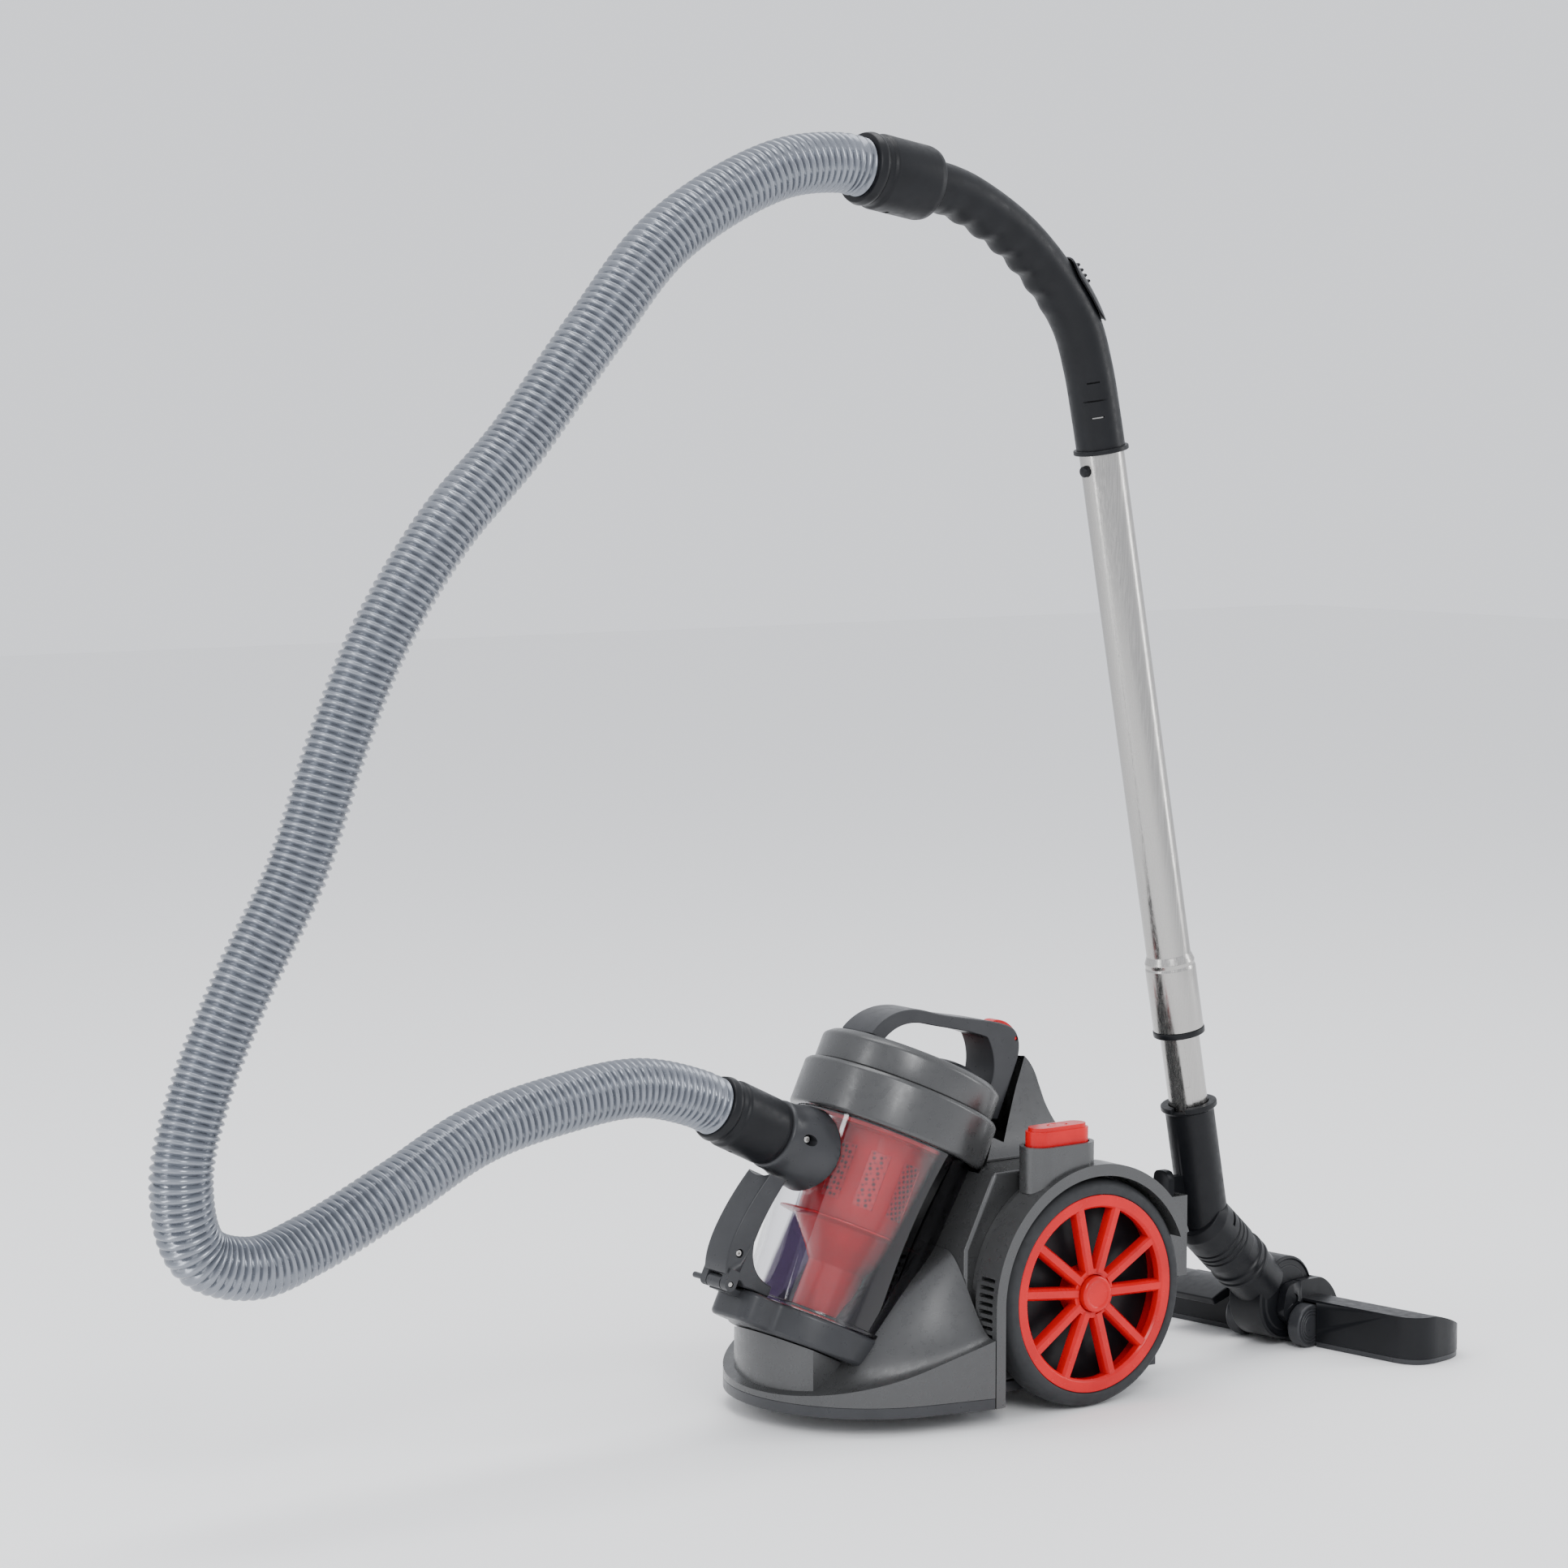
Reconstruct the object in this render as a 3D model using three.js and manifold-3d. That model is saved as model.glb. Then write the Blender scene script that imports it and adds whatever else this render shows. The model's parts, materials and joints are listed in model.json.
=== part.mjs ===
// Canister vacuum cleaner with a bagless dust container, parked upright with its hose, grip,
// telescopic wand and floor head. Millimetres, +Z up. -X is the front of the machine, where the
// dust container leans back on the deck, and the wand is parked behind the rear wheels.
// Everything is laid out from the floor point under the rear axle; the last lines move the whole
// machine so that the middle of its footprint is the origin.
import * as THREE from "three";
import { mergeVertices } from "three/addons/utils/BufferGeometryUtils.js";
import Module from "manifold-3d";

const wasm = await Module();
wasm.setup();

// ---------------------------------------------------------------- driving dimensions
const gap = 0.3; // clearance between pieces that touch
const running = 0.5; // clearance between pieces that turn or slide
const floor = 0;

// rear wheels
const wheelRadius = 88;
const wheelWidth = 28;
const wheelInside = 90; // distance from the machine's middle to a wheel's inner face
const rimRadius = wheelRadius - 12;
const hubRadius = 19;
const axleRadius = 6;
const spokePairs = 5;
const spokeSpread = 20; // degrees from the middle of a pair to each of its spokes
const firstSpokes = 122; // degrees from the rear to the middle of the first pair

// body
const bodyHalf = wheelInside - 6.5; // half width between the wheels
const flareHalf = wheelInside + wheelWidth + 2; // half width of the base in front of the wheels
const bodyRear = wheelRadius + 4;
const noseX = -130;
const noseRadius = 110;
const noseTip = noseX - noseRadius;
const baseBottom = 14;
const trayTop = 22;
const wall = 3;
const roofRadius = wheelRadius + 8; // the rear body's round back, about the rear axle
const roofTop = 2 * wheelRadius + 8;
const archInside = wheelInside + 5; // from the middle of the machine to the arch over a wheel
const archGap = 3; // between the tyre and the arch over it
const archRadius = wheelRadius + archGap + 9;
const flareX = -archRadius - 1;
const towerTop = 262;

// dust container: its axis starts at the middle of its bottom rim and leans back
const binX = -178;
const binZ = 70;
const binLean = 26;
const binLength = 150;
const binBottomRadius = 60;
const binTopRadius = 70;
const binWall = 2.5;
const binSlope = (binTopRadius - binBottomRadius) / binLength;
const binShoulder = 2 / binSlope; // where the container is 2 mm wider than at its foot
const lidDepth = 24;
const hingeReach = 101; // from the container's axis to the lid's hinge pin
const capRadius = binTopRadius + 8;
const capHeight = 38;
const crownRadius = binTopRadius + 2;
const crownHeight = 26;
const inletHeight = binLength - 35;
const inletReach = 104; // from the container's axis to the inlet's mouth
const inletRadius = 27;
const inletBore = 19;
const cuffRadius = 26;
const cuffLength = 50;

// hose
const hoseDiameter = 44;

// wand, parked behind the body
const wandX = 157.5;
const wandY = -47;
const wandZ = 210; // height of the neck's collar
const wandLean = 10.6;
const innerTubeRadius = 15.5;
const tubeWall = 1;
const outerTubeRadius = innerTubeRadius + tubeWall + 1;
const sleeveRadius = outerTubeRadius + 2.5;
const sleeveBottom = 62;
const sleeveLength = 56;
const neckRadius = innerTubeRadius + 4;
const neckLength = 101;
const gripRadius = outerTubeRadius + 1.5;
const gripStart = 525; // the grip's lower end, up the wand from the neck's collar
const outerTubeTop = gripStart + 29;
const innerTubeTop = gripStart - 21;

// floor head
const elbowTilt = 50; // degrees between the elbow's line and the vertical
const elbowReach = 112; // from the bend under the neck to the tilt joint
const headTurn = 8; // degrees that the parked head is turned about the vertical
const drumRadius = 34;
const drumHalf = 17;
const nozzleLength = 284;
const nozzleDepth = 72;
const nozzleHeight = 38;
const nozzleFace = 10; // from the tilt joint to the nozzle's near long side
const rollerRadius = 17.5;

// sides of round pieces
const fine = 28;
const medium = 16;
const coarse = 12;

// ---------------------------------------------------------------- solids
const radians = THREE.MathUtils.degToRad;

function signedVolume(position, index) {
  const [a, b, c] = [new THREE.Vector3(), new THREE.Vector3(), new THREE.Vector3()];
  let volume = 0;
  for (let i = 0; i < index.length; i += 3) {
    a.fromBufferAttribute(position, index[i]);
    b.fromBufferAttribute(position, index[i + 1]);
    c.fromBufferAttribute(position, index[i + 2]);
    volume += a.dot(b.cross(c)) / 6;
  }
  return volume;
}

// A closed three.js geometry as a solid: corners merged, empty triangles dropped, faces outward.
function solid(geometry) {
  const bare = new THREE.BufferGeometry();
  bare.setAttribute("position", geometry.getAttribute("position"));
  bare.setIndex(geometry.getIndex());
  const merged = mergeVertices(bare, 1e-4);
  const corners = merged.getIndex().array;
  const kept = [];
  for (let i = 0; i < corners.length; i += 3) {
    const [a, b, c] = corners.slice(i, i + 3);
    if (a !== b && b !== c && c !== a) kept.push(a, b, c);
  }
  const position = merged.getAttribute("position");
  if (signedVolume(position, kept) < 0) kept.reverse();
  const mesh = { numProp: 3, vertProperties: position.array, triVerts: new Uint32Array(kept) };
  return new wasm.Manifold(new wasm.Mesh(mesh));
}

function geometryOf(shape) {
  const mesh = shape.getMesh();
  const geometry = new THREE.BufferGeometry();
  geometry.setAttribute("position", new THREE.BufferAttribute(mesh.vertProperties, 3));
  geometry.setIndex(new THREE.BufferAttribute(mesh.triVerts, 1));
  geometry.computeVertexNormals();
  return geometry;
}

function joined(first, ...others) {
  return others.reduce((sum, other) => sum.add(other), first);
}

function without(first, ...others) {
  return others.reduce((rest, other) => rest.subtract(other), first);
}

// Moves a geometry in place: turns are degrees about X, Y and Z, applied in that order.
function put(geometry, [x, y, z], [turnX, turnY, turnZ] = [0, 0, 0]) {
  geometry.rotateX(radians(turnX));
  geometry.rotateY(radians(turnY));
  geometry.rotateZ(radians(turnZ));
  return geometry.translate(x, y, z);
}

// A solid of revolution about Z from [radius, height] points.
// It closes on itself unless it starts and ends on the axis.
function latheGeometry(profile, sides = fine) {
  const points = profile.map(([radius, height]) => new THREE.Vector2(radius, height));
  const open = points[0].x > 0 || points[points.length - 1].x > 0;
  if (open) points.push(points[0].clone());
  return new THREE.LatheGeometry(points, sides).rotateX(Math.PI / 2);
}

function lathe(profile, sides = fine) {
  return solid(latheGeometry(profile, sides));
}

function disc(radius, from, to, sides = fine) {
  return lathe([[0, from], [radius, from], [radius, to], [0, to]], sides);
}

function ring(inner, outer, from, to, sides = fine) {
  return lathe([[inner, from], [outer, from], [outer, to], [inner, to]], sides);
}

// The same pieces with their axis along Y, through [x, z].
function discY(radius, fromY, toY, [x, z], sides = fine) {
  const profile = [[0, fromY], [radius, fromY], [radius, toY], [0, toY]];
  return solid(put(latheGeometry(profile, sides), [x, 0, z], [-90, 0, 0]));
}

function ringY(profile, [x, z], sides = fine) {
  return solid(put(latheGeometry(profile, sides), [x, 0, z], [-90, 0, 0]));
}

function box([fromX, toX], [fromY, toY], [fromZ, toZ]) {
  const geometry = new THREE.BoxGeometry(toX - fromX, toY - fromY, toZ - fromZ);
  return solid(geometry.translate((fromX + toX) / 2, (fromY + toY) / 2, (fromZ + toZ) / 2));
}

function outline(points) {
  return new THREE.Shape(points.map(([x, y]) => new THREE.Vector2(x, y)));
}

function roundedBar(length, width) {
  const half = length / 2 - width / 2;
  const shape = new THREE.Shape();
  shape.moveTo(-half, -width / 2);
  shape.lineTo(half, -width / 2);
  shape.absarc(half, 0, width / 2, -Math.PI / 2, Math.PI / 2, false);
  shape.lineTo(-half, width / 2);
  shape.absarc(-half, 0, width / 2, Math.PI / 2, 1.5 * Math.PI, false);
  return shape;
}

function extrudeGeometry(shape, from, to, curveSegments = 5) {
  const settings = { depth: to - from, bevelEnabled: false, curveSegments };
  return new THREE.ExtrudeGeometry(shape, settings).translate(0, 0, from);
}

function extrude(shape, from, to, curveSegments = 5) {
  return solid(extrudeGeometry(shape, from, to, curveSegments));
}

// An outline in X and Z, drawn out along Y.
function extrudeY(shape, fromY, toY, curveSegments = 5) {
  return solid(extrudeGeometry(shape, -toY, -fromY, curveSegments).rotateX(Math.PI / 2));
}

// An outline in Y and Z, drawn out along X.
function extrudeX(shape, fromX, toX, curveSegments = 5) {
  const geometry = extrudeGeometry(shape, fromX, toX, curveSegments);
  return solid(geometry.rotateX(Math.PI / 2).rotateZ(Math.PI / 2));
}

// A bar or tube along a smooth line through points.
function swept(points, radius, steps, sides, bore = 0) {
  const line = new THREE.CatmullRomCurve3(points.map((point) => new THREE.Vector3(...point)));
  const section = (size) => {
    const corners = [];
    for (let i = 0; i < sides; i += 1) {
      const angle = (2 * Math.PI * i) / sides;
      corners.push(new THREE.Vector2(size * Math.cos(angle), size * Math.sin(angle)));
    }
    return corners;
  };
  const shape = new THREE.Shape(section(radius));
  if (bore > 0) shape.holes.push(new THREE.Path(section(bore).reverse()));
  return solid(new THREE.ExtrudeGeometry(shape, { steps, extrudePath: line, bevelEnabled: false }));
}

function moved(shape, [x, y, z], turns = [0, 0, 0]) {
  return solid(put(geometryOf(shape), [x, y, z], turns));
}

function mirroredY(shape) {
  return solid(geometryOf(shape).scale(1, -1, 1));
}

// ---------------------------------------------------------------- materials and groups
function plastic(color, roughness = 0.4, metalness = 0) {
  return () => new THREE.MeshStandardMaterial({ color, roughness, metalness });
}

const gunmetal = plastic(0x616362, 0.35, 0.55);
const darkGrey = plastic(0x46474a, 0.4);
const black = plastic(0x232529, 0.45);
const red = plastic(0xeb282d, 0.2);
const redClear = plastic(0xd8343c, 0.2);
const tyreGrey = plastic(0x3c3d3f, 0.8);
const steel = plastic(0xb9b6b0, 0.28, 1);
const hoseGrey = plastic(0x7d828c, 0.45);
const clear = plastic(0xd9dcdf, 0.08);
const brass = plastic(0xb08d4a, 0.35, 1);

function groupAt(parent, [x, y, z], [turnX, turnY, turnZ] = [0, 0, 0], name = "") {
  const group = new THREE.Group();
  group.position.set(x, y, z);
  group.rotation.set(radians(turnX), radians(turnY), radians(turnZ));
  group.name = name;
  parent.add(group);
  return group;
}

function add(parent, name, shape, material) {
  const mesh = new THREE.Mesh(geometryOf(shape), material());
  mesh.name = name;
  parent.add(mesh);
  return mesh;
}

const machine = new THREE.Group();
const axle = groupAt(machine, [0, 0, wheelRadius], [0, 0, 0], "wheel_axis");
const bin = groupAt(machine, [binX, 0, binZ], [0, binLean, 0], "bin_axis");
const wand = groupAt(machine, [wandX, wandY, wandZ], [0, -wandLean, 0], "wand_axis");
const bendX = wandX + neckLength * Math.sin(radians(wandLean));
const bendZ = wandZ - neckLength * Math.cos(radians(wandLean));
const reachX = elbowReach * Math.sin(radians(elbowTilt));
const jointX = bendX + reachX * Math.cos(radians(headTurn));
const jointY = wandY + reachX * Math.sin(radians(headTurn));
const jointZ = bendZ - elbowReach * Math.cos(radians(elbowTilt));
const head = groupAt(machine, [jointX, jointY, jointZ], [0, 0, headTurn], "tilt_axis");
const swivel = groupAt(head, [0, 0, 0], [0, -elbowTilt, 0], "swivel_axis");

// A shape given in the container's own frame, placed in the machine's frame.
function fromBin(shape) {
  return moved(shape, [binX, 0, binZ], [0, binLean, 0]);
}

function fromWand(shape) {
  return moved(shape, [wandX, wandY, wandZ], [0, -wandLean, 0]);
}

// ---------------------------------------------------------------- body
const roomTop = 320; // past everything over the container, in its own frame

// Plan of the base: a round nose, a wide front and a narrow rear between the wheels.
function basePlan(inset) {
  const reach = radians(105);
  const nose = noseRadius - inset;
  const shape = new THREE.Shape();
  shape.moveTo(bodyRear - inset, -bodyHalf + inset);
  shape.lineTo(bodyRear - inset, bodyHalf - inset);
  shape.lineTo(flareX - inset, bodyHalf - inset);
  shape.lineTo(flareX - inset, flareHalf - inset);
  shape.absarc(noseX, 0, nose, reach, 2 * Math.PI - reach, false);
  shape.lineTo(flareX - inset, -flareHalf + inset);
  shape.lineTo(flareX - inset, -bodyHalf + inset);
  return shape;
}

const noseSides = 11;
const casterX = -199.5;
const casterWell = 24;
const casterWellTop = 32;
const pinRoof = casterWellTop + 10;
const casterPin = 3;
const casterTrail = 8;
const casterRadius = 12;
const casterAxle = 2;

function baseTray() {
  const outside = extrude(basePlan(0), baseBottom, trayTop, noseSides);
  const pan = without(outside, extrude(basePlan(wall), baseBottom + wall, trayTop + 1, noseSides));
  const at = (shape) => moved(shape, [casterX, 0, 0]);
  const wellHole = at(disc(casterWell, baseBottom - 1, baseBottom + wall + 1, medium));
  const well = at(lathe([
    [casterWell, baseBottom], [casterWell + wall, baseBottom], [casterWell + wall, casterWellTop + wall],
    [8, casterWellTop + wall], [8, pinRoof + wall], [0, pinRoof + wall], [0, pinRoof],
    [casterPin + running, pinRoof], [casterPin + running, casterWellTop], [casterWell, casterWellTop],
  ], medium));
  return joined(without(pan, wellHole), well);
}

// The deck's top: low at the nose, rising to the rear and up towards the container.
function deckHeight(x, y) {
  const back = THREE.MathUtils.clamp((x - noseTip) / (flareX - noseTip), 0, 1);
  const rimHeight = 27 + 39 * back ** 1.2;
  const out = Math.hypot((x - flareX) / (flareX - noseTip), y / flareHalf);
  const inward = THREE.MathUtils.smoothstep(1 - out, 0.02, 0.5);
  return rimHeight + (14 + 46 * back) * inward;
}

function deckSlab(inset) {
  const cells = 6;
  const length = 140;
  const plate = new THREE.BoxGeometry(length, 2 * flareHalf + 11, 1, cells, cells, 1);
  plate.translate(flareX - length / 2 + 2 * inset, 0, 0);
  const position = plate.getAttribute("position");
  for (let i = 0; i < position.count; i += 1) {
    const top = position.getZ(i) > 0;
    const underside = trayTop + gap - (inset > 0 ? 5 : 0);
    position.setZ(i, top ? deckHeight(position.getX(i), position.getY(i)) - inset : underside);
  }
  return solid(plate).intersect(extrude(basePlan(inset), 0, 150, noseSides));
}

const pedestalHalf = 50;
function pedestal(inset) {
  const shape = new THREE.Shape();
  const reach = Math.PI - Math.asin(pedestalHalf / (noseRadius - 8));
  shape.absarc(noseX, 0, noseRadius - 8 - inset, reach, 2 * Math.PI - reach, false);
  shape.lineTo(-150, -pedestalHalf + inset);
  shape.lineTo(-150, pedestalHalf - inset);
  const aboveLid = box([-200, 60], [-100, 100], [-lidDepth - 1 - inset, 100]);
  const block = extrude(shape, trayTop + gap - (inset > 0 ? 5 : 0), 125, 10);
  return block.subtract(fromBin(aboveLid));
}

// The lid's plan in the container's frame: a disc with a tongue that reaches forward to the hinge.
const tongueHalf = 26;
function lidPlan(grow) {
  const radius = binBottomRadius + 4 + grow;
  const half = tongueHalf + grow;
  const reach = Math.PI - Math.asin(half / radius);
  const tip = -(hingeReach - 17) - grow;
  const shape = new THREE.Shape();
  shape.absarc(0, 0, radius, -reach, reach, false);
  shape.lineTo(tip + 14, half);
  shape.quadraticCurveTo(tip, half, tip, half - 14);
  shape.lineTo(tip, -half + 14);
  shape.quadraticCurveTo(tip, -half, tip + 14, -half);
  return shape;
}

// All the room that the container, its lid and its cap need to lift straight out.
function binRoom(grow) {
  const lid = extrude(lidPlan(1.5 + grow), -lidDepth - 1 - grow, roomTop);
  const shell = disc(binTopRadius + 3 + grow, binShoulder - grow, roomTop);
  const cap = disc(capRadius + 2 + grow, binLength - 4 - grow, roomTop);
  const post = disc(capRadius + 12 + grow, binLength + 30 - grow, roomTop);
  return fromBin(joined(lid, shell, cap, post));
}

function deck() {
  const outside = without(joined(deckSlab(0), pedestal(0)), binRoom(0));
  const inside = without(joined(deckSlab(wall), pedestal(wall)), binRoom(wall));
  return without(outside, inside);
}

// Side view of the rear body, grown or shrunk by an offset.
function rearProfile(grow) {
  const radius = roofRadius + grow;
  const rear = bodyRear + grow;
  const top = roofTop + grow;
  const shape = new THREE.Shape();
  shape.moveTo(flareX + 0.6 - grow, trayTop + gap);
  shape.lineTo(rear, trayTop + gap);
  shape.lineTo(rear, wheelRadius + Math.sqrt(radius ** 2 - rear ** 2));
  shape.absarc(0, wheelRadius, radius, Math.acos(rear / radius), Math.PI / 2, false);
  shape.lineTo(-72 - grow / 2, top);
  shape.lineTo(flareX + 0.6 - grow, 128 + grow / 2);
  return shape;
}

const reelHalf = 13;
const reelY = bodyHalf - 17.5;
const reelX = 34;
const reelZ = 98;

function rearHousing() {
  const outside = without(extrudeY(rearProfile(0), -bodyHalf, bodyHalf), binRoom(0));
  const cavity = extrudeY(rearProfile(-wall), -bodyHalf + wall, bodyHalf - wall);
  const halfInside = bodyHalf - wall;
  const opening = box([flareX + 4, bodyRear - wall], [-halfInside, halfInside], [trayTop - 2, trayTop + 8]);
  const inside = joined(cavity, opening);
  const spindle = discY(5.5, reelY - reelHalf, bodyHalf - wall + 1, [reelX, reelZ], coarse);
  return joined(without(outside, without(inside, binRoom(wall))), spindle);
}

function tower() {
  const side = outline([
    [-70, 150], [60, 150], [46, 184], [32, 200], [25, 222], [20, 246], [13, 258], [4, towerTop],
    [-60, towerTop],
  ]);
  const front = outline([
    [-50, 150], [50, 150], [46, 186], [34, 200], [22, 236], [17, towerTop],
    [-17, towerTop], [-22, 236], [-34, 200], [-46, 186],
  ]);
  const block = extrudeY(side, -60, 60).intersect(extrudeX(front, -80, 80));
  return without(block, extrudeY(rearProfile(gap), -90, 90), binRoom(0));
}

const buttonX = -26;
const buttonY = wheelInside + 11;
const buttonLength = 56;
const buttonWidth = 21;
const buttonTravel = 4;
const wellFloor = 2 * wheelRadius + 14;
const wellTop = wellFloor + 15;
const buttonTop = wellTop + 14;

function buttonOval(grow) {
  return roundedBar(buttonLength + 2 * grow, buttonWidth + 2 * grow);
}

const ventSlots = 9;
const firstVent = 60;
const ventPitch = 6;
function archRight() {
  const inner = wheelRadius + archGap;
  const from = radians(22);
  const band = (outer) => {
    const shape = new THREE.Shape();
    shape.absarc(0, wheelRadius, outer, from, Math.PI, false);
    shape.lineTo(-outer, baseBottom);
    shape.lineTo(-inner, baseBottom);
    shape.lineTo(-inner, wheelRadius);
    shape.absarc(0, wheelRadius, inner, Math.PI, from, true);
    return shape;
  };
  const web = extrudeY(band(inner + 4), bodyHalf + gap, archInside + 1, 12);
  const arch = joined(extrudeY(band(archRadius), archInside, flareHalf, 12), web);
  const slots = [];
  for (let i = 0; i < ventSlots; i += 1) {
    const height = firstVent + i * ventPitch;
    slots.push(box([-archRadius - 2, -inner + 2], [archInside + 4, flareHalf - 5], [height, height + 3]));
  }
  const wheelRoom = discY(inner, wheelInside - 10, wheelInside + 40, [0, wheelRadius]);
  const collar = moved(extrude(buttonOval(4.5), wellFloor - 20, wellTop), [buttonX, buttonY, 0]);
  const well = moved(extrude(buttonOval(1), wellFloor, wellTop + 5), [buttonX, buttonY, 0]);
  return without(joined(without(arch, ...slots), without(collar, wheelRoom)), well);
}

function button() {
  const room = wellFloor + buttonTravel + 1;
  const step = extrude(buttonOval(0), room, buttonTop - 3);
  const top = extrude(buttonOval(-2), buttonTop - 4, buttonTop);
  return moved(joined(step, top), [buttonX, 0, 0]);
}

// The hook on the neck hangs in a slot in this bracket's rear wall.
const bracketRear = wandX - neckRadius + 2;
const bracketWall = 4;
const bracketTop = 140;
const bracketBottom = 76;
const hookStem = 3.5; // half width of the hook's stem
const hookHead = 9; // half width of the hook's head
function parkingBracket() {
  const front = bodyRear + gap;
  const across = (half) => [wandY - half, wandY + half];
  const outer = box([front, bracketRear], across(16 + wall), [bracketBottom, bracketTop]);
  const inside = [front + wall, bracketRear - bracketWall];
  const pocket = box(inside, across(16), [bracketBottom + wall, bracketTop + 1]);
  const slotFront = bracketRear - bracketWall - 1;
  const slot = box([slotFront, bracketRear + 1], across(hookStem + 1), [bracketBottom + 14, bracketTop + 1]);
  return without(outer, pocket, slot);
}

function exhaustGrille() {
  const plate = box([bodyRear + gap, bodyRear + gap + 3], [-20, 74], [84, 128]);
  const slots = [];
  for (let i = 0; i < 6; i += 1) {
    slots.push(box([bodyRear, bodyRear + 5], [-14, 68], [89 + 6 * i, 92 + 6 * i]));
  }
  return without(plate, ...slots);
}

function cordOutlet() {
  const profile = [[4.5, 0], [9, 0], [9, 4], [7, 12], [4.5, 12]];
  return solid(put(latheGeometry(profile, coarse), [bodyRear + gap, 40, 56], [0, 90, 0]));
}

const motorFront = -26;
const motorLength = 78;
const motorZ = 92;
const motorRadius = 46;
function motorHousing() {
  const profile = [
    [12, 0], [motorRadius, 0], [motorRadius, motorLength], [motorRadius - wall, motorLength],
    [motorRadius - wall, wall], [12, wall],
  ];
  return solid(put(latheGeometry(profile, medium), [motorFront, 0, motorZ], [0, 90, 0]));
}

function motorRotor() {
  const profile = [
    [0, -6], [5, -6], [5, 8], [motorRadius - 6, 8], [motorRadius - 6, 20],
    [5, 20], [5, 30], [22, 30], [22, 62], [5, 62], [5, 76], [0, 76],
  ];
  return solid(put(latheGeometry(profile, coarse), [motorFront, 0, motorZ], [0, 90, 0]));
}

function cordReel() {
  const from = reelY - reelHalf + 1;
  const to = reelY + reelHalf;
  const profile = [
    [6, from], [46, from], [46, from + 2], [20, from + 2], [20, to - 2], [46, to - 2], [46, to], [6, to],
  ];
  return ringY(profile, [reelX, reelZ], medium);
}

add(machine, "base_tray", baseTray(), gunmetal);
add(machine, "deck", deck(), gunmetal);
add(machine, "rear_housing", rearHousing(), gunmetal);
add(machine, "tower", tower(), gunmetal);
add(machine, "arch_right", archRight(), gunmetal);
add(machine, "arch_left", mirroredY(archRight()), gunmetal);
add(machine, "parking_bracket", parkingBracket(), gunmetal);
add(machine, "exhaust_grille", exhaustGrille(), darkGrey);
add(machine, "cord_outlet", cordOutlet(), black);
add(machine, "motor_housing", motorHousing(), steel);
add(machine, "motor_rotor", motorRotor(), brass);
add(machine, "cord_reel", cordReel(), black);
add(machine, "power_button", moved(button(), [0, -buttonY, 0]), red);
add(machine, "rewind_button", moved(button(), [0, buttonY, 0]), red);

// ---------------------------------------------------------------- wheels
const wheelOutside = wheelInside + wheelWidth;
const hubFace = wheelOutside - 6; // the floor of the hub cap's seat
const capSeat = 14;
const spokeLength = rimRadius - hubRadius - 1;

function tyre() {
  const profile = [
    [rimRadius + gap, wheelInside], [wheelRadius - 4, wheelInside], [wheelRadius, wheelInside + 4],
    [wheelRadius, wheelOutside - 5], [wheelRadius - 5, wheelOutside], [rimRadius + gap, wheelOutside],
  ];
  return ringY(profile, [0, 0], fine);
}

function rim() {
  const bore = axleRadius + running;
  const hub = ringY([
    [bore, wheelInside + 1], [hubRadius, wheelInside + 1], [hubRadius, wheelOutside - 3],
    [capSeat + 0.5, wheelOutside - 3], [capSeat + 0.5, hubFace], [bore, hubFace],
  ], [0, 0], medium);
  const band = ringY([
    [rimRadius - 10, wheelOutside - 9], [rimRadius - 10, wheelOutside - 1], [rimRadius, wheelOutside - 1],
    [rimRadius, wheelInside + 2], [rimRadius - 3, wheelInside + 2], [rimRadius - 3, wheelOutside - 9],
  ], [0, 0], fine);
  const spokes = [];
  for (let pair = 0; pair < spokePairs; pair += 1) {
    for (const side of [-1, 1]) {
      const angle = firstSpokes + (360 / spokePairs) * pair + side * spokeSpread;
      const spoke = new THREE.BoxGeometry(spokeLength, 9, 9.5).translate(hubRadius - 4 + spokeLength / 2, 0, 0);
      spoke.rotateZ(radians(angle)).rotateX(Math.PI / 2);
      spokes.push(solid(spoke.translate(0, wheelOutside - 6.5, 0)));
    }
  }
  return joined(hub, band, ...spokes);
}

function hubCap() {
  return ringY([
    [0, hubFace + gap], [capSeat, hubFace + gap], [capSeat, wheelOutside + 1],
    [capSeat - 3, wheelOutside + 3], [0, wheelOutside + 3],
  ], [0, 0], medium);
}

function axleStub() {
  return ringY([
    [0, bodyHalf + gap], [18, bodyHalf + gap], [18, bodyHalf + 4], [axleRadius, bodyHalf + 4],
    [axleRadius, hubFace - 1], [0, hubFace - 1],
  ], [0, 0], coarse);
}

for (const [side, place] of [["right", (shape) => shape], ["left", mirroredY]]) {
  add(axle, `axle_${side}`, place(axleStub()), steel);
  add(axle, `tyre_${side}`, place(tyre()), tyreGrey);
  add(axle, `rim_${side}`, place(rim()), red);
  add(axle, `hub_cap_${side}`, place(hubCap()), red);
}

const caster = groupAt(machine, [casterX, 0, 0], [0, 0, 0], "caster_axis");
const casterRoll = groupAt(caster, [casterTrail, 0, casterRadius], [0, 0, 0], "caster_roll_axis");

function casterFork() {
  const plate = disc(19, casterWellTop - 5, casterWellTop - 2, medium);
  const pin = disc(casterPin, casterWellTop - 4, casterWellTop + 9, coarse);
  const cheek = (from, to) => {
    const side = outline([
      [-9, casterWellTop - 4], [13, casterWellTop - 4], [13, casterRadius - 2],
      [9, casterRadius - 6], [4, casterRadius - 4],
    ]);
    const bore = discY(casterAxle + 0.4, from - 1, to + 1, [casterTrail, casterRadius], coarse);
    return without(extrudeY(side, from, to), bore);
  };
  return joined(plate, pin, cheek(7.5, 10.5), cheek(-10.5, -7.5));
}

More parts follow.
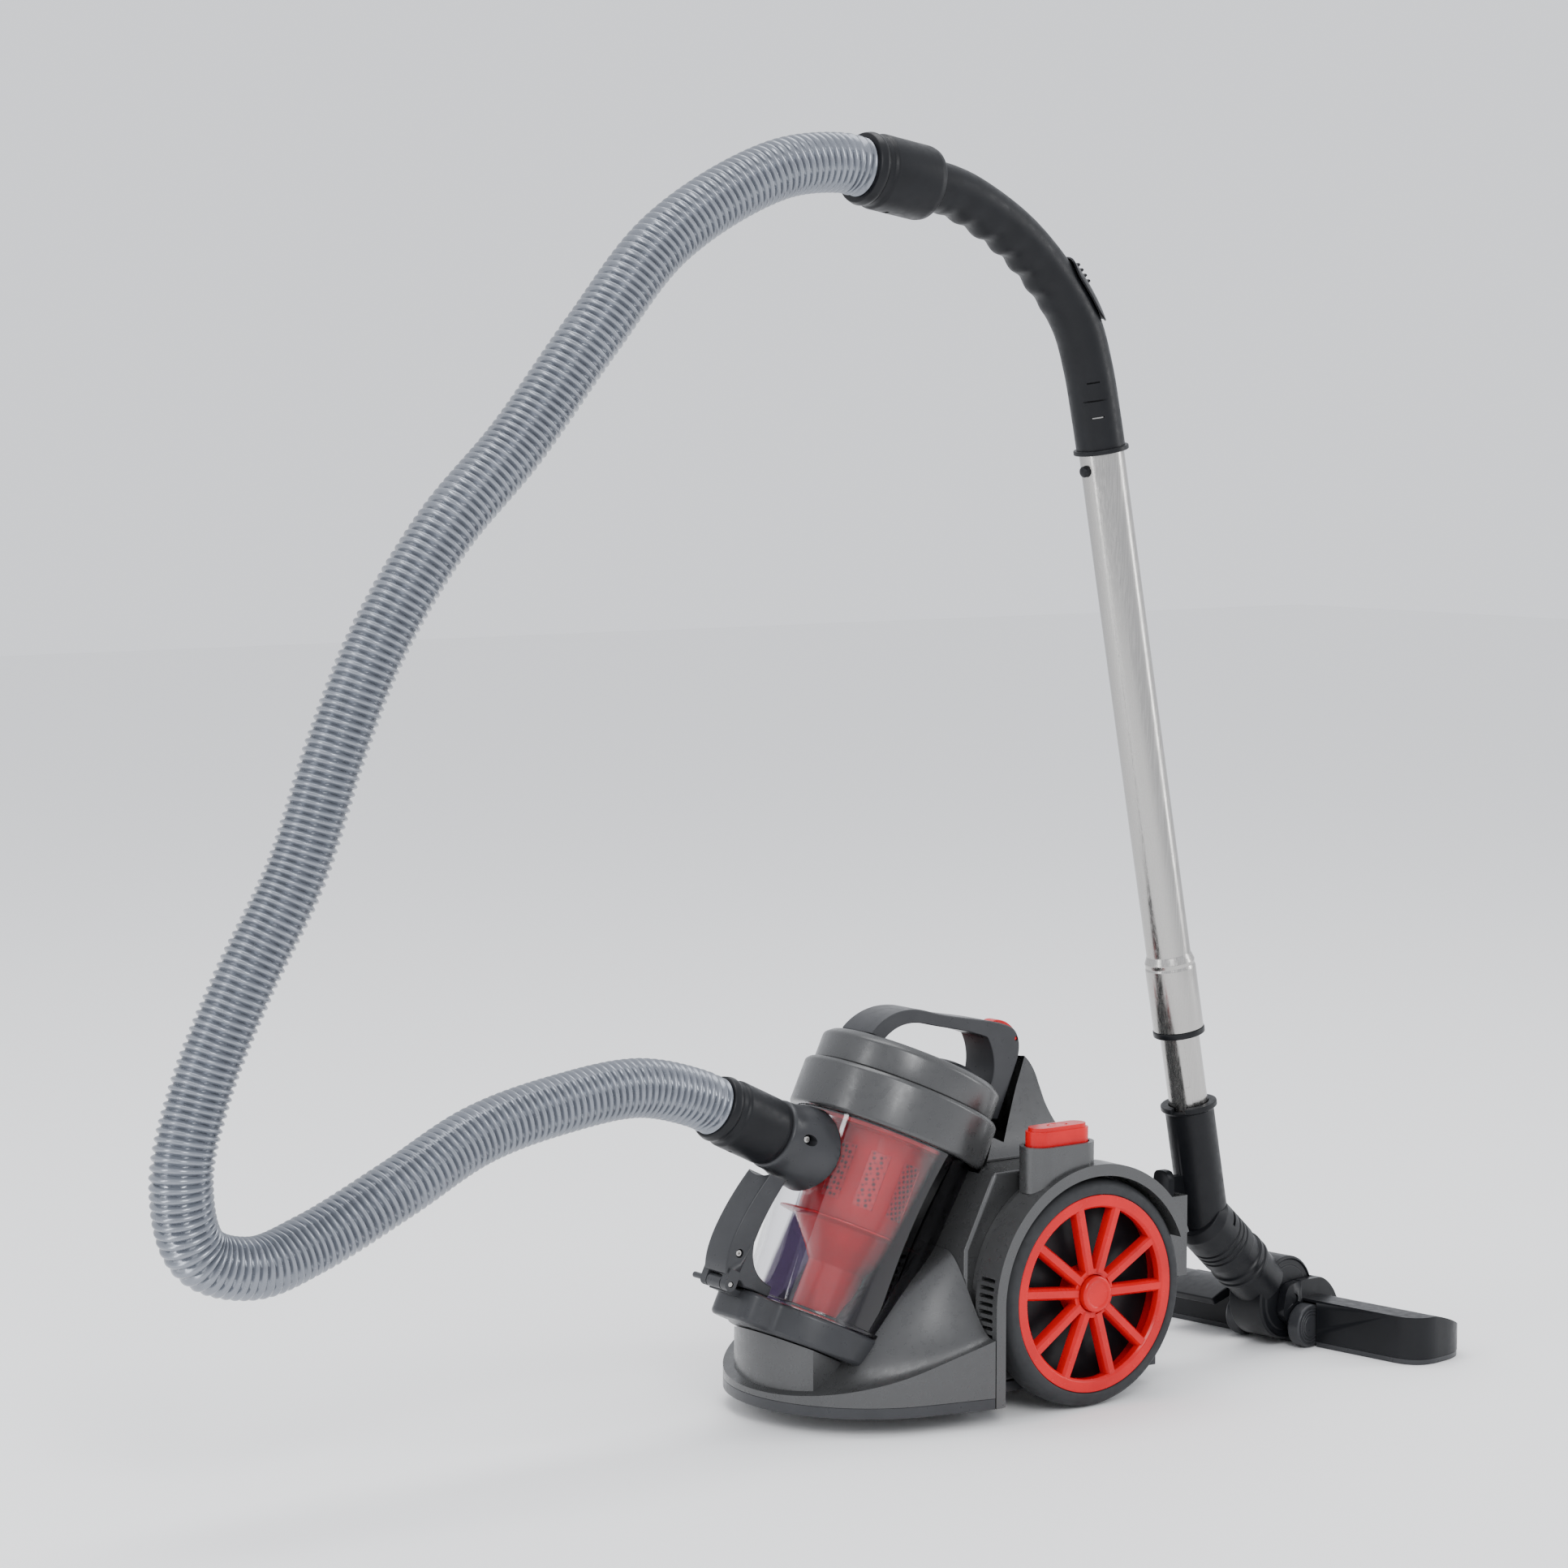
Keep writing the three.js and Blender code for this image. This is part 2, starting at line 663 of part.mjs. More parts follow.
function casterWheel() {
  const half = 6.8;
  const bore = casterAxle + running;
  return ringY([[bore, -half], [casterRadius, -half], [casterRadius, half], [bore, half]], [0, 0], coarse);
}

add(caster, "caster_fork", casterFork(), darkGrey);
add(casterRoll, "caster_wheel", casterWheel(), tyreGrey);
add(caster, "caster_axle", discY(casterAxle, -11, 11, [casterTrail, casterRadius], coarse), steel);

// ---------------------------------------------------------------- dust container
const radiusAt = (height) => binBottomRadius + binSlope * height;
const binRimTop = binLength + 8;

// A bar along the inlet's line, which leaves the container square to its axis.
function inletBar(radius, from, to, sides = medium) {
  const profile = [[0, from], [radius, from], [radius, to], [0, to]];
  return solid(put(latheGeometry(profile, sides), [0, 0, inletHeight], [0, -90, 0]));
}

// The rear of the container is cut back at its foot.
function footCut(inset) {
  const side = outline([[54 - inset, -2], [90, -2], [90, 60], [radiusAt(52) - inset, 52]]);
  return extrudeY(side, -80, 80);
}

function container() {
  const outside = without(lathe([
    [0, 0], [binBottomRadius + 3, 0], [binBottomRadius + 3, 3], [radiusAt(3), 3],
    [binTopRadius, binLength], [binTopRadius, binRimTop], [0, binRimTop],
  ]), footCut(0));
  const inside = without(lathe([
    [0, -1], [binBottomRadius - binWall, -1], [binTopRadius - binWall, binLength],
    [binTopRadius - binWall, binRimTop + 1], [0, binRimTop + 1],
  ]), footCut(binWall));
  return without(outside, inside, inletBar(inletBore, 40, 90));
}

const screwX = -88;
const screwZ = inletHeight + 4;
function inletElbow() {
  const bulge = [
    [0, 40], [inletRadius + 3, 40], [inletRadius + 5, 62], [inletRadius + 4, 78],
    [inletRadius, 92], [inletRadius, inletReach], [0, inletReach],
  ];
  const stub = solid(put(latheGeometry(bulge, medium), [0, 0, inletHeight], [0, -90, 0]));
  const shell = lathe([
    [0, -5], [radiusAt(-5) + gap, -5], [radiusAt(binLength) + gap, binLength], [0, binLength],
  ]);
  const screwHole = moved(disc(4, -12, 12, 16), [screwX, -inletRadius + 3, screwZ], [90, 0, 0]);
  return without(stub, shell, inletBar(inletBore, 30, inletReach + 1), screwHole);
}

function screw(radius, length) {
  const hex = disc(radius * 0.45, length - 1.2, length + 1, 6);
  const headDisc = disc(radius, length - 2.5, length, 16);
  return without(joined(headDisc, disc(radius * 0.55, 0, length - 2, coarse)), hex);
}

const strutHalf = 14;
const knuckle = 5.2;
const earInside = 9;
const earWidth = 7;
const lidPin = 2;
const pinX = -hingeReach;
const pinZ = -2;
const strutScrewZ = 22;

function frontStrut() {
  const curve = new THREE.Shape();
  const foot = -radiusAt(0) - 2;
  const out = -hingeReach;
  curve.moveTo(foot, gap);
  curve.lineTo(foot, 9);
  curve.quadraticCurveTo(out + 14, 10, out + 9, 34);
  curve.quadraticCurveTo(out + 9, 62, out + 19, inletHeight - inletRadius + 6);
  curve.lineTo(out + 3, inletHeight - inletRadius + 6);
  curve.quadraticCurveTo(out - 9, 62, out - 11, 34);
  curve.quadraticCurveTo(out - 12, 14, out - 6, 4);
  curve.lineTo(out, 3.5);
  curve.lineTo(out + 10, 3.5);
  curve.lineTo(out + 14, gap);
  const blade = extrudeY(curve, -strutHalf, strutHalf, 8);
  const ears = [-1, 1].map((side) => {
    const from = side > 0 ? earInside : -earInside - earWidth;
    const ear = discY(knuckle, from, from + earWidth, [pinX, pinZ], coarse);
    return joined(ear, box([pinX - knuckle, pinX + knuckle], [from, from + earWidth], [pinZ, 9]));
  });
  const elbowRoom = inletBar(inletRadius + 5 + gap, 40, 130);
  const lidRoom = extrude(lidPlan(1), -40, -0.2);
  const middle = discY(knuckle + 1, -earInside, earInside, [pinX, pinZ], coarse);
  const bore = discY(lidPin + 0.3, -30, 30, [pinX, pinZ], 16);
  const screwHole = moved(disc(3.4, -6, 6, 16), [pinX - 1, -strutHalf, strutScrewZ], [90, 0, 0]);
  const rimRadiusOut = binBottomRadius + 3 + gap;
  const rimRoom = lathe([
    [0, -3], [rimRadiusOut, -3], [rimRadiusOut, 3 + gap], [radiusAt(3) + gap, 3 + gap],
    [radiusAt(60) + gap, 60], [0, 60],
  ]);
  return without(joined(blade, ...ears), elbowRoom, lidRoom, rimRoom, middle, bore, screwHole);
}

function bottomLid() {
  const top = -gap;
  const shell = without(extrude(lidPlan(0), -lidDepth, top), extrude(lidPlan(-3), -lidDepth + 3, top + 1));
  const bar = discY(knuckle, -earInside + 1, earInside - 1, [pinX, pinZ], coarse);
  const arm = box([pinX, -hingeReach + 18], [-earInside + 1, earInside - 1], [pinZ - knuckle - 1, pinZ - 1]);
  const bore = discY(lidPin + 0.3, -30, 30, [pinX, pinZ], 16);
  return without(joined(shell, bar, arm), bore);
}

const coneTube = 22;
const skirtHeight = 76;
function cycloneCone() {
  return lathe([
    [coneTube, 3], [coneTube, 40], [44, skirtHeight - 6], [57, skirtHeight - 4], [57, skirtHeight - 2.5],
    [42, skirtHeight - 2], [coneTube - 2, 42], [coneTube - 2, 3],
  ], medium);
}

const shroudRadius = 44;
function meshShroud() {
  const tube = ring(shroudRadius - 2, shroudRadius, skirtHeight - 1.5, binLength - 4, medium);
  const flange = ring(shroudRadius - 2, binTopRadius - binWall - 2, binLength - 5, binLength - 2, medium);
  const windows = [];
  for (let i = 0; i < 10; i += 1) {
    const angle = 36 * i + 18;
    const cut = new THREE.BoxGeometry(12, 16, 44).translate(shroudRadius, 0, skirtHeight + 34);
    windows.push(solid(cut.rotateZ(radians(angle))));
  }
  return without(joined(tube, flange), ...windows);
}

add(bin, "container", container(), clear);
add(bin, "inlet_elbow", inletElbow(), darkGrey);
add(bin, "inlet_screw", moved(screw(3.2, 7), [screwX, -inletRadius + 10, screwZ], [90, 0, 0]), steel);
add(bin, "front_strut", frontStrut(), black);
add(bin, "strut_screw", moved(screw(2.8, 4), [pinX - 1, -strutHalf + 5, strutScrewZ], [90, 0, 0]), steel);
add(bin, "cyclone_cone", cycloneCone(), redClear);
add(bin, "mesh_shroud", meshShroud(), redClear);
const lidHinge = groupAt(bin, [pinX, 0, pinZ], [0, 0, 0], "lid_axis");
add(lidHinge, "bottom_lid", moved(bottomLid(), [-pinX, 0, -pinZ]), darkGrey);
const lidPinHalf = earInside + earWidth - 0.5;
add(bin, "lid_pin", discY(lidPin, -lidPinHalf, lidPinHalf, [pinX, pinZ], coarse), steel);

// ---------------------------------------------------------------- cap and carry handle
const capBottom = binLength - 1;
const capTop = capBottom + capHeight;
const crownTop = capTop + crownHeight;
const domeX = 40;
const domeRadius = 21;

function capLower() {
  const inside = binTopRadius + running;
  return lathe([
    [inside, capBottom], [capRadius, capBottom + 2], [capRadius, capTop - 2], [capRadius - 2, capTop],
    [24, capTop], [24, capTop - 4], [capRadius - wall, capTop - 4], [capRadius - wall, binRimTop + 2],
    [inside, binRimTop + 2],
  ]);
}

function capUpper() {
  const shell = lathe([
    [crownRadius - 3, capTop + gap], [crownRadius, capTop + gap], [crownRadius, crownTop - 4],
    [crownRadius - 5, crownTop],
    [0, crownTop], [0, crownTop - 3], [crownRadius - 6, crownTop - 3], [crownRadius - 3, crownTop - 6],
  ]);
  return without(shell, moved(disc(14, crownTop - 8, crownTop + 1, coarse), [domeX, 0, 0]));
}

function filterDome() {
  const dome = [
    [0, crownTop + gap], [domeRadius, crownTop + gap], [domeRadius, crownTop + 4],
    [domeRadius - 4, crownTop + 9], [9, crownTop + 11.5], [0, crownTop + 12],
  ];
  return moved(lathe(dome, medium), [domeX, 0, 0]);
}

const handleFront = 18;
const handleRear = 15;
const postX = crownRadius + 12;
const releaseX = postX - 8;
const releaseZ = crownTop + 48;
const releasePin = 1.5;

function carryHandle() {
  const base = crownTop + gap;
  const shape = new THREE.Shape();
  shape.moveTo(-62, base);
  shape.bezierCurveTo(-56, base + 18, -38, base + 33, -12, base + 36);
  shape.bezierCurveTo(20, base + 42, postX - 30, base + 56, postX - 14, base + 54);
  shape.bezierCurveTo(postX - 6, base + 52, postX - 1, base + 44, postX, base + 34);
  shape.lineTo(postX, capTop + 10);
  shape.lineTo(crownRadius + 1, capTop + 6);
  shape.lineTo(crownRadius + 1, base);
  shape.lineTo(crownRadius - 6, base);
  shape.bezierCurveTo(crownRadius - 4, base + 16, crownRadius - 12, base + 30, crownRadius - 24, base + 38);
  shape.bezierCurveTo(24, base + 36, 4, base + 29, -12, base + 26);
  shape.bezierCurveTo(-30, base + 23, -42, base + 14, -48, base);
  const sides = outline([
    [-handleFront - 2, capTop], [handleFront + 2, capTop], [handleRear, base + 70], [-handleRear, base + 70],
  ]);
  const blade = extrudeY(shape, -24, 24, 8).intersect(extrudeX(sides, -90, 100));
  const crownRoom = disc(crownRadius + gap, 0, base);
  const domeRoom = moved(disc(domeRadius + 1, 0, base + 14, medium), [domeX, 0, 0]);
  const pocket = box([postX - 32, postX - 2], [-6.5, 6.5], [base + 41, base + 90]);
  const round = disc(postX + 2, 0, roomTop, 48);
  const bore = discY(releasePin + 0.3, -30, 30, [releaseX, releaseZ], coarse);
  return without(blade.intersect(round), crownRoom, domeRoom, pocket, bore);
}

function releaseButton() {
  const base = crownTop + gap;
  const side = new THREE.Shape();
  side.moveTo(postX - 30, base + 49);
  side.bezierCurveTo(postX - 28, base + 58, postX - 14, base + 60, postX - 4, base + 55);
  side.lineTo(postX - 3.5, base + 44.5);
  side.lineTo(postX - 12, base + 44.5);
  return without(extrudeY(side, -6, 6, 6), discY(releasePin + 0.3, -10, 10, [releaseX, releaseZ], coarse));
}

const cap = groupAt(bin, [0, 0, 0], [0, 0, 0], "cap_axis");
add(cap, "cap_lower", capLower(), gunmetal);
add(cap, "cap_upper", capUpper(), gunmetal);
add(cap, "filter_dome", filterDome(), darkGrey);
add(cap, "carry_handle", carryHandle(), darkGrey);
groupAt(cap, [releaseX, 0, releaseZ], [0, 0, 0], "release_axis");
add(cap, "release_button", releaseButton(), red);
add(cap, "release_pin", discY(releasePin, -handleRear, handleRear, [releaseX, releaseZ], coarse), red);

// ---------------------------------------------------------------- hose and its cuffs
const inletAxis = groupAt(bin, [-inletReach, 0, inletHeight], [0, -90, 0], "inlet_axis");
const nutLength = 8;

// A cuff with a grip nut at its far end, its mouth at height 0 and the hose beyond it.
function cuff(length, radius, bore) {
  const tube = lathe([
    [bore, gap], [radius - 1, gap], [radius, 6], [radius, length - 6], [radius - 2, length], [bore, length],
  ], medium);
  const slot = box([-radius - 1, -radius + 3], [-4, 4], [length * 0.55, length * 0.55 + 4]);
  return without(tube, slot);
}

function nut(from, radius, bore) {
  return ring(bore, radius - 2, from + gap, from + nutLength, medium);
}

add(inletAxis, "lower_cuff", cuff(cuffLength, cuffRadius, inletBore), black);
add(inletAxis, "lower_nut", nut(cuffLength, cuffRadius, inletBore), black);

// ---------------------------------------------------------------- wand
const neckBore = innerTubeRadius + running;
const neckSocket = -40; // the depth that the inner tube stands in the neck

// The hook's place is set by the bracket, so it is made in the machine's frame.
function hook() {
  const front = bracketRear - bracketWall - 1;
  const across = (half) => [wandY - half, wandY + half];
  const stem = box([front, wandX + 12], across(hookStem), [bracketTop - 28, bracketTop + 12]);
  const headPlate = box([front - 6, front], across(hookHead), [bracketTop - 44, bracketTop + 18]);
  return joined(stem, headPlate);
}

function intoWand(shape) {
  return moved(moved(shape, [-wandX, -wandY, -wandZ]), [0, 0, 0], [0, wandLean, 0]);
}

function neck() {
  const tube = lathe([
    [neckBore, neckSocket], [innerTubeRadius - 2, neckSocket],
    [innerTubeRadius - 2, -neckLength], [neckRadius, -neckLength],
    [neckRadius, -5], [neckRadius + 3, -4], [neckRadius + 3, 0], [neckBore, 0],
  ], medium);
  const bore = disc(innerTubeRadius - 2, -neckLength - 5, 10, medium);
  return without(joined(tube, intoWand(hook())), bore, disc(neckBore, neckSocket, 10, medium));
}

function innerTube() {
  const tube = ring(innerTubeRadius - tubeWall, innerTubeRadius, neckSocket + gap, innerTubeTop, medium);
  return without(tube, box([-20, -innerTubeRadius + 0.5], [-2, 2], [20, 60]));
}

// The snap button that locks the grip to the outer tube comes through both of their walls.
const snapHeight = gripStart - 12;
const snapRadius = 4.3;
function snapHole() {
  return moved(disc(snapRadius + gap, 0, 30, 16), [0, 0, snapHeight], [0, -90, 0]);
}

function outerTube() {
  const inner = outerTubeRadius - tubeWall;
  const sleeveTop = sleeveBottom + sleeveLength;
  const tube = lathe([
    [sleeveRadius - tubeWall, sleeveBottom], [sleeveRadius, sleeveBottom], [sleeveRadius, sleeveTop],
    [outerTubeRadius, sleeveTop + 5], [outerTubeRadius, outerTubeTop], [inner, outerTubeTop],
    [inner, sleeveTop + 4], [sleeveRadius - tubeWall, sleeveTop],
  ], medium);
  return without(tube, snapHole());
}

function sleeveRing() {
  const inside = innerTubeRadius + running;
  const top = sleeveBottom + 40;
  return lathe([
    [inside, sleeveBottom - 5], [sleeveRadius + 0.6, sleeveBottom - 4],
    [sleeveRadius + 0.6, sleeveBottom - gap],
    [sleeveRadius - tubeWall - gap, sleeveBottom - gap], [sleeveRadius - tubeWall - gap, top], [inside, top],
  ], medium);
}

const gripPath = [
  [0, 0], [-0.5, 29], [-2, 65], [-8, 101], [-26, 137], [-56, 176], [-96, 209], [-117, 220.6], [-134, 226.8],
].map(([x, height]) => [x, 0, gripStart + height]);
const gripEnd = gripPath[gripPath.length - 1];
const gripTilt = -70; // degrees from the wand's line to the grip's far end

function grip() {
  const past = [gripEnd[0] - 10, 0, gripEnd[2] + 3.6];
  const body = swept(gripPath, gripRadius, 12, 14);
  const duct = swept([[0, 0, gripStart - 6], ...gripPath.slice(1, -1), past], gripRadius - 4, 12, 10);
  const flange = ring(outerTubeRadius, gripRadius + 2.5, gripStart, gripStart + 4, medium);
  const socket = disc(outerTubeRadius + gap, gripStart - 10, outerTubeTop + gap, medium);
  return without(joined(body, flange), duct, socket, snapHole());
}

function snapButton() {
  return disc(snapRadius, -tubeWall - gap - 2, 4.5, 16);
}

const sliderAt = [6.5, 0, gripStart + 127];
const sliderTilt = -30;
function airSlider() {
  const plan = roundedBar(52, 22);
  const window = roundedBar(20, 9);
  const plate = extrude(plan, 0, 5);
  const hole = moved(extrude(window, -1, 6), [-10, 0, 0]);
  const ribs = [0, 1, 2, 3].map((i) => box([8 + 4 * i, 10 + 4 * i], [-8, 8], [4, 6.5]));
  return joined(without(plate, hole), ...ribs);
}

add(wand, "neck", neck(), black);
add(wand, "inner_tube", innerTube(), steel);
const upperWand = groupAt(wand, [0, 0, 0], [0, 0, 0], "telescope_axis");
add(upperWand, "outer_tube", outerTube(), steel);
add(upperWand, "sleeve_ring", sleeveRing(), black);
add(upperWand, "grip", grip(), black);
const snap = groupAt(upperWand, [-outerTubeRadius - gap, 0, snapHeight], [0, -90, 0], "snap_axis");
add(snap, "snap_button", snapButton(), black);
const slider = groupAt(upperWand, sliderAt, [0, 90 + sliderTilt, 0], "slider_axis");
add(slider, "air_slider", airSlider(), black);
const gripMouth = groupAt(upperWand, gripEnd, [0, gripTilt, 0], "upper_cuff_axis");
gripMouth.translateZ(1); // the grip's mouth is not quite square to the cuff
add(gripMouth, "upper_cuff", cuff(cuffLength + 4, cuffRadius + 2, gripRadius), black);
add(gripMouth, "upper_nut", nut(cuffLength + 4, cuffRadius + 2, gripRadius), black);

// ---------------------------------------------------------------- floor head
// Heights here are from the tilt joint, which is jointZ above the floor.
const ground = floor - jointZ;
const ductRadius = 14;

// The elbow and the yoke are turned about one slanting line, from the tilt joint up to the neck.
const elbowFrom = 72;
function elbow() {
  const sleeve = lathe([
    [ductRadius, elbowFrom], [23.5, elbowFrom], [23.5, elbowReach + 4], [20, elbowReach + 12],
    [ductRadius, elbowReach + 12],
  ], medium);
  const inMachine = moved(moved(sleeve, [0, 0, 0], [0, -elbowTilt, headTurn]), [jointX, jointY, jointZ]);
  const neckRoom = fromWand(disc(neckRadius + gap, -neckLength - gap, 40, medium));
  const passage = fromWand(disc(innerTubeRadius - 2, -neckLength - 12, 0, medium));
  return without(inMachine, neckRoom, passage);
}

const tiltPin = 4;
function yoke() {
  const tube = lathe([
    [ductRadius, 20], [22, 20], [22, 48], [24, 49], [24, 60], [22, 61],
    [22, elbowFrom - gap], [ductRadius, elbowFrom - gap],
  ], medium);
  const drum = discY(drumRadius, -drumHalf, drumHalf, [0, 0], fine);
  const duct = moved(disc(ductRadius, 0, elbowFrom, medium), [0, 0, 0], [0, -elbowTilt, 0]);
  const outlet = discY(ductRadius + 4, -drumHalf + 4, drumHalf - 4, [0, 0], medium);
  const mouth = box([0, drumRadius + 2], [-drumHalf + 4, drumHalf - 4], [-ductRadius, ductRadius - 8]);
  const bar = joined(moved(tube, [0, 0, 0], [0, -elbowTilt, 0]), drum);
  const near = discY(tiltPin, -drumHalf - 7, -drumHalf + 1, [0, 0], coarse);
  const far = discY(tiltPin, drumHalf - 1, drumHalf + 7, [0, 0], coarse);
  return joined(without(bar, duct, outlet, mouth), near, far);
}

const cheek = 7;
const cheekInside = drumHalf + 1;
const rollerX = 6;
const rollerHalf = 6;
const rollerY = cheekInside + cheek + rollerHalf + 1;

function nozzlePlan(inset) {
  const half = nozzleLength / 2 - inset;
  const near = nozzleFace + inset;
  const far = nozzleFace + nozzleDepth - inset;
  const corner = 26;
  const shape = new THREE.Shape();
  shape.moveTo(near + corner, -half);
  shape.lineTo(far - corner * 1.4, -half);
  shape.quadraticCurveTo(far, -half, far, -half + corner * 1.4);
  shape.lineTo(far, half - corner * 1.4);
  shape.quadraticCurveTo(far, half, far - corner * 1.4, half);
  shape.lineTo(near + corner, half);
  shape.quadraticCurveTo(near, half, near, half - corner);
  shape.lineTo(near, -half + corner);
  shape.quadraticCurveTo(near, -half, near + corner, -half);
  return shape;
}

const soleThickness = 4;
function nozzleSide(inset) {
  const top = ground + nozzleHeight - inset;
  const bottom = ground + soleThickness + gap - (inset > 0 ? 1 : 0);
  const far = nozzleFace + nozzleDepth - inset;
  return outline([
    [nozzleFace - 2 + inset, bottom], [far, bottom], [far, ground + 18 - inset / 2],
    [far - 12, ground + 25 - inset], [nozzleFace + 22, top], [nozzleFace - 2 + inset, top],
  ]);
}

function rollerRoom() {
  const from = cheekInside + cheek;
  const to = rollerY + rollerHalf + 1;
  const at = (low, high) => discY(rollerRadius + 1.5, low, high, [rollerX, ground + rollerRadius], medium);
  return joined(at(from, to), at(-to, -from));
}

function nozzleCover() {
  const block = (inset) => {
    const plan = extrude(nozzlePlan(inset), -100, 100, 4);
    return plan.intersect(extrudeY(nozzleSide(inset), -200, 200));
  };
  const ear = (from) => {
    const side = outline([
      [-16, -12], [4, -26], [nozzleFace + 24, -26], [nozzleFace + 30, 6], [10, 14], [-10, 12],
    ]);
    return extrudeY(side, from, from + cheek);
  };
  const humpSide = outline([
    [4, -20], [nozzleFace + 50, -20], [nozzleFace + 46, -8], [nozzleFace + 26, 13], [8, 14],
  ]);
  const hump = extrudeY(humpSide, -cheekInside - cheek, cheekInside + cheek);
  const drumRoom = discY(drumRadius + 1, -cheekInside, cheekInside, [0, 0], fine);
  const wide = (from, to) => box([-drumRadius - 2, 2], [from, to], [-drumRadius - 2, drumRadius + 20]);
  const throat = box([drumRadius - 6, nozzleFace + 40], [-12, 12], [-40, -8]);
  const bore = discY(tiltPin + gap, -60, 60, [0, 0], coarse);
  const shell = without(block(0), block(2.5));
  const outside = joined(shell, ear(cheekInside), ear(-cheekInside - cheek), hump);
  return without(outside, drumRoom, wide(-cheekInside, cheekInside), rollerRoom(), throat, bore);
}

const brushX = nozzleFace + 58;
const brushHalf = nozzleLength / 2 - 20;
const slotHalf = brushHalf - 4;
function solePlate() {
  const plate = extrude(nozzlePlan(0.2), ground, ground + soleThickness, 4);
  const through = [ground - 1, ground + soleThickness + 1];
  const slot = (from, to) => box([nozzleFace + 24, nozzleFace + 42], [from, to], through);
  const brushSlot = box([brushX - 4, brushX + 4], [-brushHalf - 1, brushHalf + 1], through);
  const drumRoom = discY(drumRadius + 1, -cheekInside, cheekInside, [0, 0], fine);
  return without(plate, slot(-slotHalf, -4), slot(4, slotHalf), brushSlot, rollerRoom(), drumRoom);
}

function brushStrip() {
  const base = box([brushX - 3, brushX + 3], [-brushHalf, brushHalf], [ground + 6, ground + 10]);
  const bristles = box([brushX - 2, brushX + 2], [-brushHalf + 1, brushHalf - 1], [ground + 2, ground + 7]);
  return joined(base, bristles);
}

function roller(side) {
  const from = side * rollerY - rollerHalf;
  const profile = [
    [0, from], [rollerRadius, from], [rollerRadius, from + 2 * rollerHalf], [0, from + 2 * rollerHalf],
  ];
  return ringY(profile, [0, 0], medium);
}

const pedalRoom = 1.5; // clear of the cover while the pedal swings down
const pedalSpan = [rollerY + rollerHalf + 4, rollerY + rollerHalf + 58];
function pedal() {
  const top = ground + nozzleHeight;
  const back = nozzleFace - 2 - pedalRoom;
  const side = outline([
    [-24, top - 6], [-20, top - 12], [back, top - 6], [back, top + running],
    [nozzleFace + 14, top + running], [nozzleFace + 14, top + 3.5], [nozzleFace - 6, top + 5],
  ]);
  return extrudeY(side, ...pedalSpan);
}

add(machine, "elbow", elbow(), black);
add(head, "yoke", yoke(), black);
add(head, "nozzle_cover", nozzleCover(), black);
add(head, "sole_plate", solePlate(), darkGrey);
add(head, "brush_strip", brushStrip(), black);
add(head, "pedal", pedal(), black);
groupAt(head, [nozzleFace - 1, 0, ground + nozzleHeight + 2], [0, 0, 0], "pedal_axis");
const rollers = groupAt(head, [rollerX, 0, ground + rollerRadius], [0, 0, 0], "roller_axis");
add(rollers, "roller_near", roller(-1), darkGrey);
add(rollers, "roller_far", roller(1), darkGrey);

// ---------------------------------------------------------------- hose
// Its line runs from the lower cuff, forward and down to a bend in front of the machine, then up
// and over to the grip. The first and last points lie on the cuffs' own lines.
function hosePoints() {
  machine.updateMatrixWorld(true);
  const from = (group, height) => group.localToWorld(new THREE.Vector3(0, 0, height)).toArray();
  const lowerEnd = cuffLength + nutLength + gap;
  const upperEnd = lowerEnd + 4;
  return [
    from(inletAxis, lowerEnd), from(inletAxis, lowerEnd + 16),
    [-340, 0, 265], [-410, 0, 260], [-480, 0, 245], [-550, -5, 215], [-620, -5, 185], [-670, -10, 175],
    [-710, -10, 190], [-725, -15, 240], [-710, -15, 300], [-680, -20, 370], [-640, -25, 445], [-610, -30, 530],
    [-580, -35, 600], [-530, -40, 675], [-470, -40, 735], [-410, -45, 810], [-345, -45, 880], [-250, -47, 930],
    from(gripMouth, upperEnd + 16), from(gripMouth, upperEnd),
  ];
}

const hoseSteps = 42;
const hoseWall = 3;
const hoseRadius = hoseDiameter / 2;
add(machine, "hose", swept(hosePoints(), hoseRadius, hoseSteps, 8, hoseRadius - hoseWall), hoseGrey);

// ---------------------------------------------------------------- origin
// The machine stands on the origin with the middle of its own footprint, the hose left out.
const footprint = new THREE.Box3();
machine.updateMatrixWorld(true);
machine.traverse((piece) => {
  if (piece.isMesh && piece.name !== "hose") footprint.expandByObject(piece, true);
});
const middle = footprint.getCenter(new THREE.Vector3());
machine.position.set(-middle.x, -middle.y, -footprint.min.z);

export default machine;
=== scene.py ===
"""Looks for the canister vacuum cleaner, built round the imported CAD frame.

Lengths are millimetres in the machine's own layout (origin on the floor under the rear axle, -X to
the front, +Z up) and each piece's matrix takes them to metres in the frame.
"""
import json
import math

import bmesh
import bpy
from mathutils import Matrix, Vector


